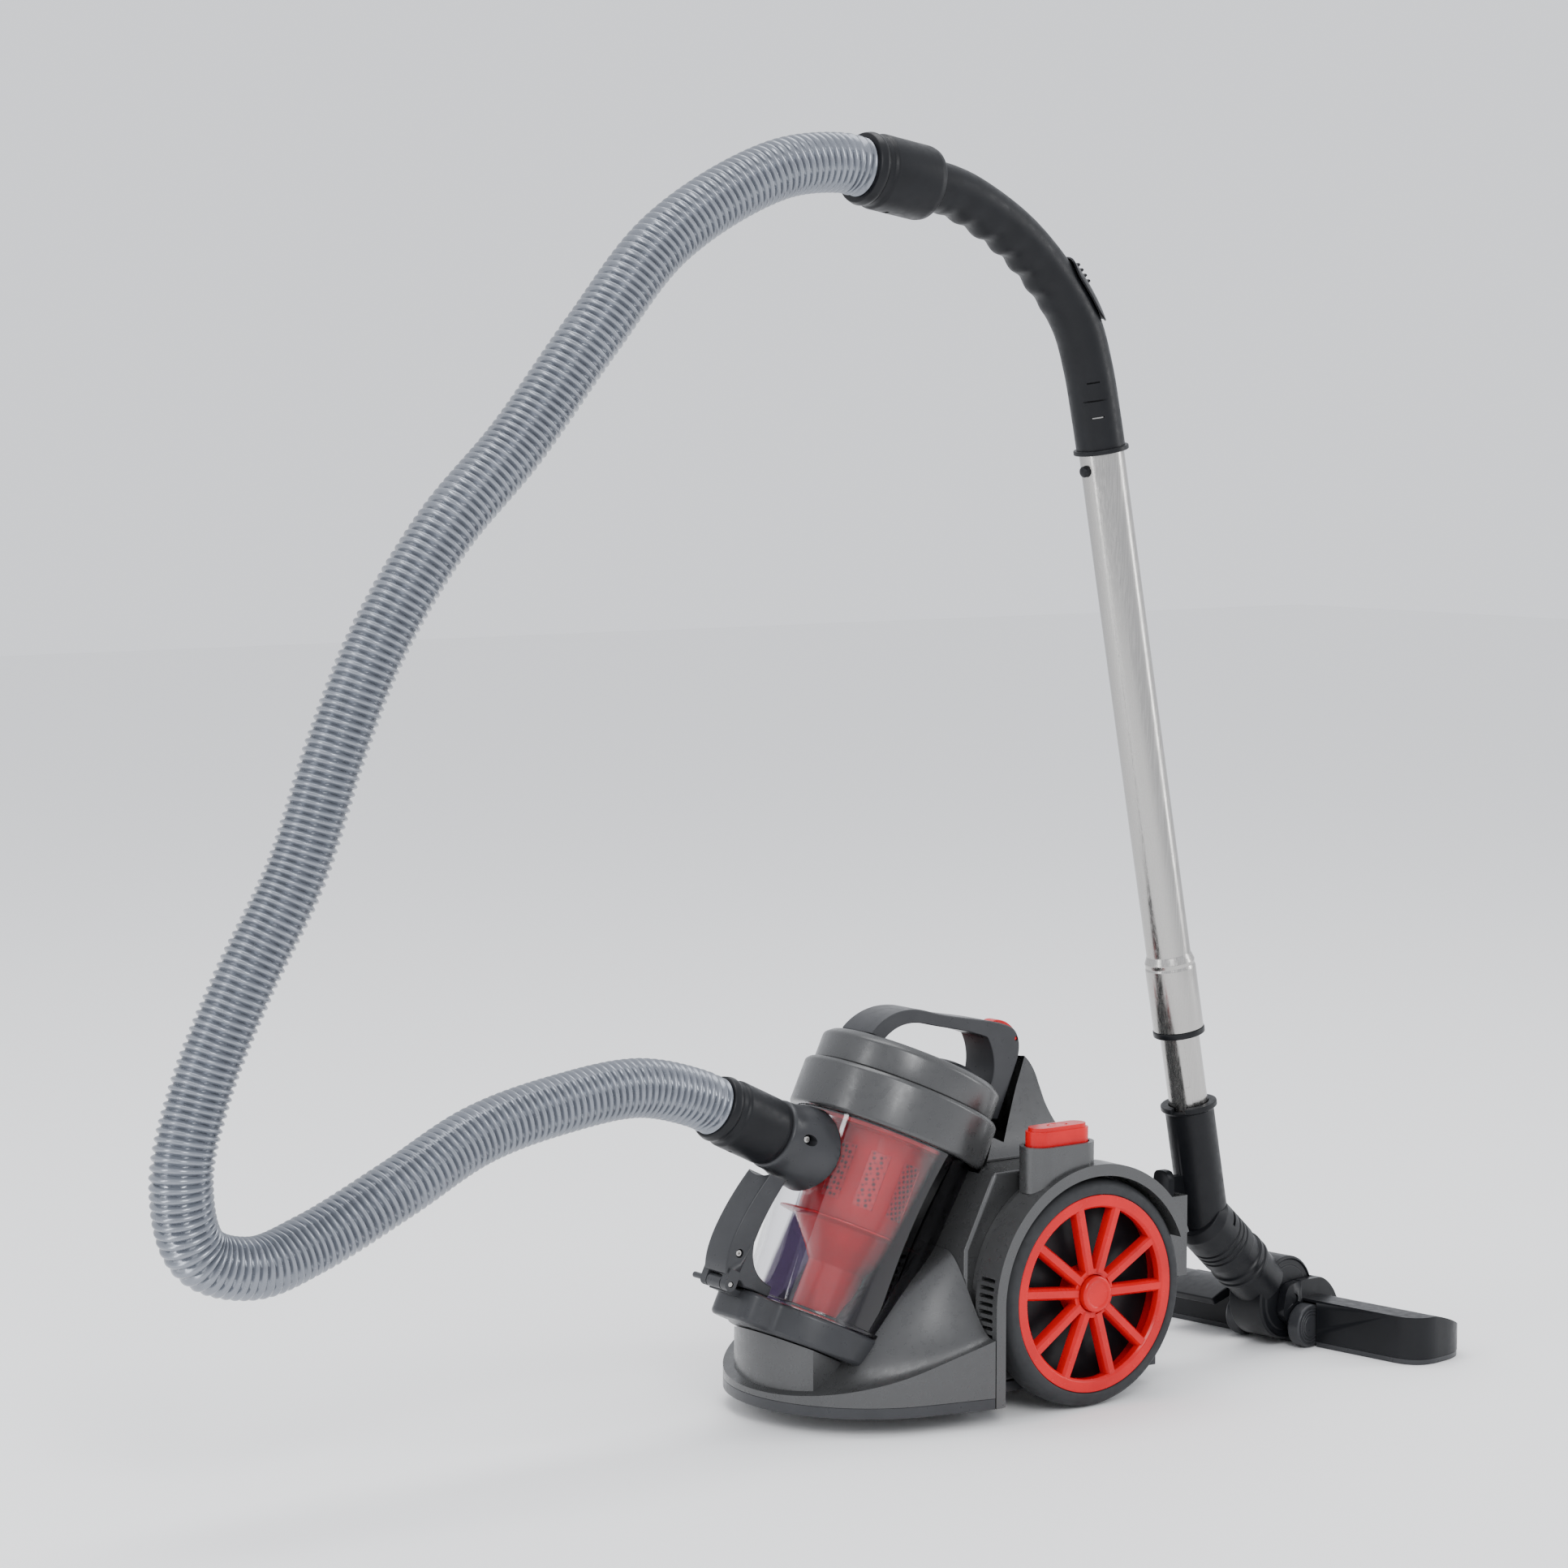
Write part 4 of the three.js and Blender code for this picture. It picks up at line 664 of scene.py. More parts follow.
# ------------------------------------------------------------------ wand
def make_neck():
    profile = [
        (16, -40), (13.5, -40), (13.5, -NECK_LENGTH), (NECK_RADIUS, -NECK_LENGTH), (NECK_RADIUS, -6),
        (NECK_RADIUS + 3, -4), (NECK_RADIUS + 3, 0), (16, 0),
    ]
    body = lathe("wand_neck", profile, WAND, 0.7)
    stem = block("stem", (135, WAND_X + 4), (WAND_Y - 3.5, WAND_Y + 3.5), (112, 152), MACHINE)
    low, high = WAND_Y - 9, WAND_Y + 9
    plate = rounded([(low, 96), (high, 96), (high, 158), (low, 158)], 7)
    head = prism("hook", plate, 129, 135, MACHINE, "yz")
    bore = rod(16, -40, 10, WAND)
    low_bore = rod(13.5, -NECK_LENGTH - 5, -39, WAND)
    notch = block("notch", (-30, 30), (-6, 6), (-3.2, 4), at(WAND, 0, 0, 0, 0, 25))
    fuse(body, stem, head)
    cut(body, bore, low_bore, notch)
    bevel(body, 0.5, 2, 40)
    piece(body, SATIN_BLACK, "root", "neck")


def make_tubes():
    inner = lathe("inner_wand_tube", [
        (INNER_TUBE_RADIUS - 1, -39.7), (INNER_TUBE_RADIUS, -39.7),
        (INNER_TUBE_RADIUS, INNER_TUBE_TOP), (INNER_TUBE_RADIUS - 1, INNER_TUBE_TOP),
    ], WAND, 0.3)
    turn = at(WAND, 0, 0, 0, 0, -128)
    groove = prism("groove", rounded([(-2.2, 16), (2.2, 16), (2.2, 470), (-2.2, 470)], 2.1, steps=6),
                   INNER_TUBE_RADIUS - 0.45, INNER_TUBE_RADIUS + 3, turn, "yz")
    piece(cut(inner, groove), STEEL, "root", "inner_tube", sharp=25)
    wall = OUTER_TUBE_RADIUS - 1
    outer = lathe("outer_wand_tube", [
        (SLEEVE_RADIUS - 1, SLEEVE_BOTTOM), (SLEEVE_RADIUS, SLEEVE_BOTTOM), (SLEEVE_RADIUS, SLEEVE_TOP - 6),
        (SLEEVE_RADIUS - 0.7, SLEEVE_TOP - 4), (SLEEVE_RADIUS - 0.2, SLEEVE_TOP - 1),
        (OUTER_TUBE_RADIUS, SLEEVE_TOP + 5), (OUTER_TUBE_RADIUS, OUTER_TUBE_TOP), (wall, OUTER_TUBE_TOP),
        (wall, SLEEVE_TOP + 4), (SLEEVE_RADIUS - 1, SLEEVE_TOP),
    ], WAND, 0.5)
    hole = rod(4.6, 5, 30, at(WAND, 0, 0, SNAP_HEIGHT, -90), 32)
    piece(cut(outer, hole), STEEL, "upper_wand", "outer_tube", sharp=25)
    inside = INNER_TUBE_RADIUS + 0.5
    ring = lathe("sleeve_seal", [
        (inside, SLEEVE_BOTTOM - 5), (SLEEVE_RADIUS + 0.6, SLEEVE_BOTTOM - 5),
        (SLEEVE_RADIUS + 0.6, SLEEVE_BOTTOM - GAP), (SLEEVE_RADIUS - 1.3, SLEEVE_BOTTOM - GAP),
        (SLEEVE_RADIUS - 1.3, SLEEVE_BOTTOM + 40), (inside, SLEEVE_BOTTOM + 40),
    ], WAND, 0.8)
    piece(ring, BLACK, "upper_wand", "sleeve_ring")
    button = lathe("snap_stud", [(0, -3.3), (4.3, -3.3), (4.3, 3.4), (2.4, 4.4), (0, 4.5)],
                   at(WAND, -OUTER_TUBE_RADIUS - GAP, 0, SNAP_HEIGHT, -90), 1.2, 40)
    piece(button, BLACK, "snap", "snap_button")


def make_grip():
    line, length = smooth_line(GRIP_LINE, 1.6)
    frames = []
    for k in range(len(line)):
        tangent = (line[min(k + 1, len(line) - 1)] - line[max(k - 1, 0)]).normalized()
        side = Vector((0, 1, 0))
        frames.append((side.cross(tangent), side))
    spacing = length / (len(line) - 1)

    def outer(k, angle):
        """Finger waves on the inner side of the bend, which angle 180 degrees faces."""
        along = k * spacing
        under = max(0.0, -math.cos(angle)) ** 1.5
        start, end = length * 0.42, length * 0.95
        if not start < along < end:
            return GRIP_RADIUS
        fade = math.sin(math.pi * (along - start) / (end - start)) ** 0.5
        return GRIP_RADIUS + 1.5 * under * fade * math.sin(2 * math.pi * (along - start) / 24)

    def inner(k, angle):
        return OUTER_TUBE_RADIUS + GAP if k * spacing < 29.6 else GRIP_RADIUS - 4

    body = tube("grip_handle", line, frames, SIDES, outer, inner, WAND)
    hole, edge, top = OUTER_TUBE_RADIUS + 0.1, GRIP_RADIUS + 2.5, GRIP_START + 3.6
    flange = lathe("flange", [(hole, GRIP_START), (edge, GRIP_START), (edge, top), (hole, top)], WAND, 0.9)
    fuse(body, flange)
    marks = []
    turn = at(WAND, 0, 0, 0, 0, -128)
    depth = (GRIP_RADIUS - 2.2, GRIP_RADIUS + 4)
    for height, half in ((566, 9.5), (580, 5), (553, 5)):
        marks.append(block("mark", depth, (-half, half), (height, height + 1.3), turn))
    cut(body, *marks)
    piece(body, SATIN_BLACK, "upper_wand", "grip", sharp=40)
    return line, frames, spacing


SADDLE_INSIDE, SADDLE_OUTSIDE = GRIP_RADIUS + 1.9, GRIP_RADIUS + 3.4


def make_slider(line, frames, spacing):
    """A saddle on the outer side of the grip's bend, with ribs and an oval window."""
    first, last = round(96 / spacing), round(146 / spacing)
    rows = range(first, last + 1)
    columns = 28
    spread = math.radians(62)
    verts = []
    for radius in (SADDLE_OUTSIDE, SADDLE_INSIDE):
        for k in rows:
            u, v = frames[k]
            place = (k - first) / (last - first)
            pinch = 1 - 0.35 * abs(2 * place - 1) ** 5
            for i in range(columns + 1):
                angle = spread * pinch * (2 * i / columns - 1)
                verts.append(line[k] + (u * math.cos(angle) + v * math.sin(angle)) * radius)
    wide, long = columns + 1, len(rows)
    faces = []
    for start in (0, wide * long):
        for k in range(long - 1):
            for i in range(columns):
                low = start + k * wide + i
                faces.append([low, low + 1, low + wide + 1, low + wide])
    border = [(0, i) for i in range(columns)] + [(k, columns) for k in range(long - 1)]
    border += [(long - 1, i) for i in range(columns, 0, -1)] + [(k, 0) for k in range(long - 1, 0, -1)]
    for (k, i), (m, j) in zip(border, border[1:] + border[:1]):
        low, high = k * wide + i, m * wide + j
        faces.append([low, high, high + wide * long, low + wide * long])
    saddle = build("air_valve_slider", verts, faces, WAND)
    middle = line[round(110 / spacing)]
    normal, side = frames[round(110 / spacing)]
    along = normal.cross(side)
    local = Matrix((along, side, normal)).transposed().to_4x4()
    spot = WAND @ Matrix.Translation(middle) @ local
    oval = [(x * 9, y * 4.6) for x, y in arc(0, 0, 1, 0, 352.5, 47)]
    cut(saddle, prism("window", oval, SADDLE_OUTSIDE - 1.1, GRIP_RADIUS + 8, spot))
    bars = []
    for i in range(4):
        number = round((124 + 4.6 * i) / spacing)
        centre, (u, v) = line[number], frames[number]
        turn = Matrix((u.cross(v), v, u)).transposed().to_4x4()
        outline = [(-1.1, -9), (1.1, -9), (1.1, 9), (-1.1, 9)]
        place = WAND @ Matrix.Translation(centre) @ turn
        bars.append(prism("bar", rounded(outline, 1), SADDLE_INSIDE - 0.7, SADDLE_OUTSIDE + 1.1, place))
    fuse(saddle, *bars)
    bevel(saddle, 0.5, 2, 40)
    piece(saddle, BLACK, "slider", "air_slider")


make_neck()
make_tubes()
make_slider(*make_grip())


# ------------------------------------------------------------------ floor head
def make_elbow():
    grooves = []
    for i in range(3):
        low = 82 + 6 * i
        grooves += [(23.5, low), (22.5, low + 0.6), (22.5, low + 2), (23.5, low + 2.6)]
    top = ELBOW_REACH + 12
    profile = [(14, 72), (23.5, 72), *grooves, (23.5, ELBOW_REACH + 4), (20, top), (14, top)]
    body = lathe("neck_elbow", profile, SWIVEL, 0.7)
    room = rod(NECK_RADIUS + GAP, -NECK_LENGTH - GAP, 40, WAND)
    passage = rod(13.5, -NECK_LENGTH - 12, -60, WAND)
    turned = [at(SWIVEL, 0, 0, 0, 0, turn) for turn in (-60, 120)]
    slots = [block("slot", (15, 30), (-7, 7), (103, 106), place) for place in turned]
    cut(body, room, passage, *slots)
    bevel(body, 0.5, 2, 45)
    piece(body, SATIN_BLACK, "root", "elbow")


def make_yoke():
    profile = [(14, 20), (22, 20), (22, 47), (24, 48.5), (24, 52), (22.6, 53), (22.6, 55), (24, 56), (24, 60),
               (22, 61.5), (22, 71.7), (14, 71.7)]
    body = lathe("swivel_yoke", profile, SWIVEL, 0.6)
    steps = [(8, 0), (7, 1.2), (3, 1.2), (2, 0), (0, 1.5)]
    near = [(DRUM_RADIUS - inset, depth - DRUM_HALF) for inset, depth in steps]
    far = [(radius, -height) for radius, height in reversed(near)]
    drum = lathe("drum", [(0, -DRUM_HALF), *near, *far, (0, DRUM_HALF)], TILT_AXIS, 0.5)
    pins = lathe("pin", [(0, -24), (4, -24), (4, 24), (0, 24)], TILT_AXIS, 0.5, 32)
    duct = rod(14, 0, 80, SWIVEL, 64)
    outlet = rod(18, -13, 13, TILT_AXIS, 64)
    mouth = block("mouth", (0, DRUM_RADIUS + 2), (-13, 13), (-14, 6), HEAD)
    fuse(body, drum)
    cut(body, duct, outlet, mouth)
    fuse(body, pins)
    bevel(body, 0.4, 2, 45)
    piece(body, BLACK, "yoke", "yoke")


OVERLAP = 0.4
CHEEK, CHEEK_INSIDE = 7, DRUM_HALF + 1
ROLLER_X, ROLLER_HALF = 6, 6
ROLLER_Y = CHEEK_INSIDE + CHEEK + ROLLER_HALF + 1


def nozzle_plan(inset):
    half = NOZZLE_LENGTH / 2 - inset
    near, far, corner = NOZZLE_FACE + inset, NOZZLE_FACE + NOZZLE_DEPTH - inset, 26
    wide = corner * 1.4
    line = [(near + corner, -half), (far - wide, -half)]
    line += bezier((far - wide, -half), (far, -half), (far, -half + wide))
    line += [(far, half - wide)] + bezier((far, half - wide), (far, half), (far - wide, half))
    line += [(near + corner, half)] + bezier((near + corner, half), (near, half), (near, half - corner))
    line += [(near, -half + corner)] + bezier((near, -half + corner), (near, -half), (near + corner, -half))
    return line[:-1]


def nozzle_block(name, inset):
    top = GROUND + NOZZLE_HEIGHT - inset
    bottom = GROUND + 4 + GAP - (1 if inset else 0)
    near, far = NOZZLE_FACE - 2 + inset, NOZZLE_FACE + NOZZLE_DEPTH - inset
    side = [(near, bottom), (far, bottom), (far, GROUND + 16 - inset / 2)]
    side += bezier((far, GROUND + 16 - inset / 2), (far - 3, GROUND + 22 - inset),
                   (far - 14, GROUND + 26 - inset))
    side += bezier((far - 14, GROUND + 26 - inset), (NOZZLE_FACE + 34, top - 2), (NOZZLE_FACE + 22, top))
    side.append((near, top))
    solid = prism(name, nozzle_plan(inset), -100, 100, HEAD)
    return common(solid, prism("side", side, -200, 200, HEAD, "xz"))


def roller_rooms():
    rooms = []
    place = at(HEAD, ROLLER_X, 0, GROUND + ROLLER_RADIUS) @ Y_AXIS
    for side in (-1, 1):
        ends = sorted((side * (CHEEK_INSIDE + CHEEK - OVERLAP), side * (ROLLER_Y + ROLLER_HALF + 1)))
        rooms.append(rod(ROLLER_RADIUS + 1.5, *ends, place, 64))
    return rooms


def make_nozzle():
    shell = nozzle_block("nozzle_shell", 0)
    hollow = nozzle_block("hollow", 2.5)
    bevel(shell, 4, 4, 40)
    shell = cut(shell, hollow)
    ears = []
    outline = [(-16, -12), (4, -26), (NOZZLE_FACE + 24, -26), (NOZZLE_FACE + 30, 6), (10, 14), (-10, 12)]
    outline = rounded(outline, 7)
    for start in (CHEEK_INSIDE, -CHEEK_INSIDE - CHEEK):
        ears.append(prism("ear", outline, start, start + CHEEK, HEAD, "xz"))
    side = [(4, -20), (NOZZLE_FACE + 50, -20), (NOZZLE_FACE + 46, -8)]
    side += bezier((NOZZLE_FACE + 46, -8), (NOZZLE_FACE + 38, 8), (NOZZLE_FACE + 24, 13)) + [(8, 14)]
    hump = prism("hump", side, -CHEEK_INSIDE - CHEEK, CHEEK_INSIDE + CHEEK, HEAD, "xz")
    fuse(shell, hump)
    # The rooms reach a little past the cheeks' faces, so that no two faces lie in one plane.
    reach = CHEEK_INSIDE + OVERLAP
    drum = rod(DRUM_RADIUS + 1, -reach, reach, TILT_AXIS)
    behind = -DRUM_RADIUS - 2
    wide = block("wide", (behind, 2), (-reach, reach), (behind, DRUM_RADIUS + 20), HEAD)
    under = block("under", (0, NOZZLE_FACE + 4), (-reach, reach), (behind, -20), HEAD)
    throat = block("throat", (DRUM_RADIUS - 6, NOZZLE_FACE + 40), (-12, 12), (-40, -8), HEAD)
    bore = rod(4.3, -60, 60, TILT_AXIS, 32)
    cut(shell, drum, wide, under, throat, *roller_rooms())
    fuse(shell, *ears)
    cut(shell, bore)
    bevel(shell, 1.0, 3, 40)
    piece(shell, BLACK, "nozzle", "nozzle_cover")
    plate = prism("nozzle_sole", nozzle_plan(0.2), GROUND, GROUND + 4, HEAD)
    slots = [block("slot", (NOZZLE_FACE + 24, NOZZLE_FACE + 42), span, (GROUND - 1, GROUND + 5), HEAD)
             for span in ((-118, -4), (4, 118))]
    brush = block("slot", (NOZZLE_FACE + 54, NOZZLE_FACE + 62), (-123, 123), (GROUND - 1, GROUND + 5), HEAD)
    drum = rod(DRUM_RADIUS + 1, -CHEEK_INSIDE, CHEEK_INSIDE, TILT_AXIS)
    cut(plate, *slots, brush, drum, *roller_rooms())
    bevel(plate, 0.8, 3, 40)
    piece(plate, DARK_GREY, "nozzle", "sole_plate")


def make_head_trim():
    rings = []
    for radius in (14.6, 12.2, 9.8):
        rings += [(radius, 0.0), (radius - 0.3, 0.7), (radius - 1.1, 0.7), (radius - 1.4, 0.0)]
    near = [(radius, -ROLLER_HALF + depth) for radius, depth in reversed(rings)]
    far = [(radius, ROLLER_HALF - depth) for radius, depth in rings]
    tread = [(ROLLER_RADIUS - 0.8, -ROLLER_HALF), (ROLLER_RADIUS, -ROLLER_HALF + 1.5),
             (ROLLER_RADIUS, ROLLER_HALF - 1.5), (ROLLER_RADIUS - 0.8, ROLLER_HALF)]
    profile = [(0, -ROLLER_HALF), *near, *tread, *far, (0, ROLLER_HALF)]
    for name, side in (("roller_near", -1), ("roller_far", 1)):
        place = at(HEAD, ROLLER_X, side * ROLLER_Y, GROUND + ROLLER_RADIUS) @ Y_AXIS
        piece(lathe(name + "_wheel", profile, place, 0.3), DARK_GREY, "rollers", name)
    top = GROUND + NOZZLE_HEIGHT
    start = ROLLER_Y + ROLLER_HALF + 4
    back, front = NOZZLE_FACE - 3.5, NOZZLE_FACE + 14
    side = [(-24, top - 6), (-20, top - 12), (back, top - 6), (back, top + 0.5), (front, top + 0.5),
            (front, top + 3.5)]
    side += bezier((front, top + 3.5), (NOZZLE_FACE - 6, top + 6), (-24, top - 6))[:-1]
    lever = prism("foot_pedal", side, start, start + 54, HEAD, "xz")
    bevel(lever, 1.4, 3, 30)
    piece(lever, BLACK, "pedal", "pedal")
    keep("brush_strip", TYRE, 0.4)


make_elbow()
make_yoke()
make_nozzle()
make_head_trim()


# ------------------------------------------------------------------ wheels
def make_wheel(side_name, mirror):
    place = AXLE @ Matrix.Scale(mirror, 4, (0, 1, 0)) @ Y_AXIS
    # Y_AXIS takes the lathe's +Z to +Y, so heights below are distances from the machine's middle.
    body = "wheel_" + side_name
    inside, outside = WHEEL_INSIDE, WHEEL_OUTSIDE
    tyre = [(RIM_RADIUS + GAP, inside), (WHEEL_RADIUS - 5, inside), (WHEEL_RADIUS - 1, inside + 3),
            (WHEEL_RADIUS, inside + 8), (WHEEL_RADIUS, outside - 10), (WHEEL_RADIUS - 1.5, outside - 4),
            (WHEEL_RADIUS - 5, outside - 0.6), (WHEEL_RADIUS - 8, outside), (RIM_RADIUS + GAP, outside)]
    piece(lathe("tyre_" + side_name + "_rubber", tyre, place, 2.2, 128), TYRE, body, "tyre_" + side_name)
    bore = 6.5
    hub = [(bore, inside + 1), (HUB_RADIUS, inside + 1), (HUB_RADIUS, outside - 3), (14.5, outside - 3),
           (14.5, outside - 6), (bore, outside - 6)]
    band = [(66, outside - 9), (66, outside - 3), (68, outside - 1), (RIM_RADIUS, outside - 1),
            (RIM_RADIUS, inside + 2), (RIM_RADIUS - 3, inside + 2), (RIM_RADIUS - 3, outside - 9)]
    rim = lathe("rim_" + side_name + "_red", hub, place, 0.5)
    parts = [lathe("band", band, place, 0.6, 128)]
    section = [(outside - 11, -4.5), (outside - 11, 4.5), (outside - 4.5, 4.5), (outside - 1.8, 2.6),
               (outside - 1.8, -2.6), (outside - 4.5, -4.5)]
    for pair in range(SPOKE_PAIRS):
        for lean in (-1, 1):
            angle = FIRST_SPOKES + 360 / SPOKE_PAIRS * pair + lean * SPOKE_SPREAD
            turned = at(AXLE @ Matrix.Scale(mirror, 4, (0, 1, 0)), 0, 0, 0, -angle)
            parts.append(prism("spoke", section, HUB_RADIUS - 3, 68, turned, "yz"))
    fuse(rim, *parts)
    bevel(rim, 0.7, 2, 40)
    piece(rim, RED, body, "rim_" + side_name)
    cap = [(0, outside - 5.7), (14, outside - 5.7), (14, outside + 1.2), (12.4, outside + 2.4),
           (10.5, outside + 2.4), (9.5, outside + 1.6), (0, outside + 1.6)]
    piece(lathe("hub_cap_" + side_name + "_red", cap, place, 0.6), RED, body, "hub_cap_" + side_name)
    # Painted shade: a thin black disc set inside the rim stands in for the shadow on the gunmetal body side
    # behind the spokes.
    painted_shade_dish = [(HUB_RADIUS + 0.4, inside + 5), (RIM_RADIUS - 3.4, inside + 3), (RIM_RADIUS - 3.4, inside + 5),
            (HUB_RADIUS + 0.4, inside + 7)]
    piece(lathe("wheel_" + side_name + "_painted_shade_disc", painted_shade_dish, place, 0.3), BLACK, body)
    stub = [(0, BODY_HALF + GAP), (18, BODY_HALF + GAP), (18, BODY_HALF + 4), (6, BODY_HALF + 4),
            (6, outside - 7), (0, outside - 7)]
    piece(lathe("axle_" + side_name + "_stub", stub, place, 0.5, 48), STEEL, "root", "axle_" + side_name)


make_wheel("right", 1)
make_wheel("left", -1)


# ------------------------------------------------------------------ body
def base_plan(inset, steps=56):
    line = [(BODY_REAR - inset, -BODY_HALF + inset), (BODY_REAR - inset, BODY_HALF - inset),
            (FLARE_X - inset, BODY_HALF - inset), (FLARE_X - inset, FLARE_HALF - inset)]
    line += arc(NOSE_X, 0, NOSE_RADIUS - inset, 105, 255, steps)
    line += [(FLARE_X - inset, -FLARE_HALF + inset), (FLARE_X - inset, -BODY_HALF + inset)]
    return line


def smoothstep(value, low, high):
    value = min(1.0, max(0.0, (value - low) / (high - low)))
    return value * value * (3 - 2 * value)


def deck_height(x, y):
    back = min(1.0, max(0.0, (x + 240) / (FLARE_X + 240)))
    rim_height = 27 + 39 * back ** 1.2
    out = math.hypot((x - FLARE_X) / (240 + FLARE_X), y / FLARE_HALF)
    return rim_height + (14 + 46 * back) * smoothstep(1 - out, 0.02, 0.5)


def deck_slab(inset, cells=84):
    low = TRAY_TOP + GAP - (5 if inset else 0)
    xs = [FLARE_X - 140 + 2 * inset + 140 * i / cells for i in range(cells + 1)]
    ys = [-125.5 + 251 * i / cells for i in range(cells + 1)]
    top = [(x, y, deck_height(x, y) - inset) for x in xs for y in ys]
    count = cells + 1
    index = lambda i, j: i * count + j
    faces = [[index(i, j), index(i + 1, j), index(i + 1, j + 1), index(i, j + 1)]
             for i in range(cells) for j in range(cells)]
    border = [(i, 0) for i in range(cells)] + [(cells, j) for j in range(cells)]
    border += [(i, cells) for i in range(cells, 0, -1)] + [(0, j) for j in range(cells, 0, -1)]
    verts = top + [(xs[i], ys[j], low) for i, j in border]
    start = len(top)
    for k, (i, j) in enumerate(border):
        after = (k + 1) % len(border)
        faces.append([index(i, j), index(*border[after]), start + after, start + k])
    faces.append([start + k for k in range(len(border))])
    slab = build("deck_slab", verts, faces, MACHINE)
    return common(slab, prism("plan", base_plan(inset), 0, 150, MACHINE))


def lid_plan(grow, steps=10):
    radius = BIN_BOTTOM_RADIUS + 4 + grow
    half = TONGUE_HALF + grow
    reach = 180 - math.degrees(math.asin(half / radius))
    tip = -(HINGE_REACH - 17) - grow
    line = arc(0, 0, radius, -reach, reach, 72)
    line += [(tip + 14, half)] + bezier((tip + 14, half), (tip, half), (tip, half - 14), steps=steps)
    line += [(tip, -half + 14)] + bezier((tip, -half + 14), (tip, -half), (tip + 14, -half), steps=steps)
    return line


def bin_room(grow):
    lid = prism("lid_room", lid_plan(1.5 + grow), -LID_DEPTH - 1 - grow, 320, BIN)
    shell = rod(BIN_TOP_RADIUS + 3 + grow, 30 - grow, 320, BIN)
    cap = rod(CAP_RADIUS + 2 + grow, BIN_LENGTH - 4 - grow, 320, BIN)
    return fuse(lid, shell, cap)


def pedestal(inset):
    half = 50
    radius = NOSE_RADIUS - 8
    reach = 180 - math.degrees(math.asin(half / radius))
    line = arc(NOSE_X, 0, radius - inset, reach, 360 - reach, 28)
    line += [(-150, -half + inset), (-150, half - inset)]
    low = TRAY_TOP + GAP - (5 if inset else 0)
    body = prism("pedestal", line, low, 125, MACHINE)
    above = block("above", (-200, 60), (-100, 100), (-LID_DEPTH - 1 - inset, 100), BIN)
    return cut(body, above)


def make_deck():
    outside = fuse(deck_slab(0), pedestal(0))
    cut(outside, bin_room(0))
    inside = fuse(deck_slab(WALL), pedestal(WALL))
    cut(inside, bin_room(WALL))
    cut(outside, inside)
    bevel(outside, 1.6, 3, 34)
    piece(outside, GUNMETAL, "root", "deck")


def make_tray():
    tray = prism("base_pan", base_plan(0), BASE_BOTTOM, TRAY_TOP, MACHINE)
    cut(tray, prism("inside", base_plan(WALL), BASE_BOTTOM + WALL, TRAY_TOP + 1, MACHINE))
    caster = at(MACHINE, -199.5, 0, 0)
    hole = rod(24, 10, 18, caster)
    well = lathe("well", [(24, 14), (27, 14), (27, 35), (8, 35), (8, 45), (0, 45), (0, 42), (3.5, 42),
                          (3.5, 32), (24, 32)], caster, 0.4)
    cut(tray, hole)
    fuse(tray, well)
    bevel(tray, 0.9, 2, 40)
    piece(tray, DARK_GREY, "root", "base_tray")


def rear_profile(grow, steps=40):
    radius, rear, top = ROOF_RADIUS + grow, BODY_REAR + grow, ROOF_TOP + grow
    start = math.degrees(math.acos(rear / radius))
    line = [(FLARE_X + 0.6 - grow, TRAY_TOP + GAP), (rear, TRAY_TOP + GAP)]
    line += arc(0, WHEEL_RADIUS, radius, start, 90, steps)
    line += [(-72 - grow / 2, top), (FLARE_X + 0.6 - grow, 128 + grow / 2)]
    return line


def make_rear():
    shell = prism("rear_body", rear_profile(0), -BODY_HALF, BODY_HALF, MACHINE, "xz")
    bevel(shell, 3, 3, 40)
    inside = prism("inside", rear_profile(-WALL), -BODY_HALF + WALL, BODY_HALF - WALL, MACHINE, "xz")
    half = BODY_HALF - WALL
    foot = block("foot", (FLARE_X + 4, BODY_REAR - WALL), (-half, half), (20, 30), MACHINE)
    fuse(inside, foot)
    cut(inside, bin_room(WALL))
    cut(shell, bin_room(0))
    cut(shell, inside)
    spindle = rod(5.5, 53, BODY_HALF - 2, at(MACHINE, 34, 0, 98) @ Y_AXIS, 32)
    fuse(shell, spindle)
    bevel(shell, 1.0, 2, 40)
    piece(shell, GUNMETAL, "root", "rear_housing")


def make_tower():
    side = [(-70, 150), (60, 150), (46, 184)] + bezier((46, 184), (34, 194), (28, 210), (25, 222))
    side += bezier((25, 222), (22, 240), (20, 252), (6, TOWER_TOP)) + [(-60, TOWER_TOP)]
    front = [(-50, 150), (50, 150), (46, 186)] + bezier((46, 186), (36, 196), (28, 214), (22, 236))
    front += bezier((22, 236), (20, 250), (17, TOWER_TOP))
    front += [(-17, TOWER_TOP)] + bezier((-17, TOWER_TOP), (-20, 250), (-22, 236))
    front += bezier((-22, 236), (-28, 214), (-36, 196), (-46, 186))
    ridge = prism("latch_tower", side, -60, 60, MACHINE, "xz")
    common(ridge, prism("front", front, -80, 80, MACHINE, "yz"))
    post = rod(CAP_RADIUS + 12, BIN_LENGTH + 30, 320, BIN)
    body = prism("body", rear_profile(GAP), -90, 90, MACHINE, "xz")
    cut(ridge, body, bin_room(0), post)
    bevel(ridge, 3.2, 4, 28)
    piece(ridge, GUNMETAL, "root", "tower")


def bar_outline(length, width, steps=20):
    half = (length - width) / 2
    return arc(half, 0, width / 2, -90, 90, steps) + arc(-half, 0, width / 2, 90, 270, steps)


BUTTON_X, BUTTON_Y, BUTTON_LENGTH, BUTTON_WIDTH = -26, 101, 56, 21
WELL_FLOOR = 190


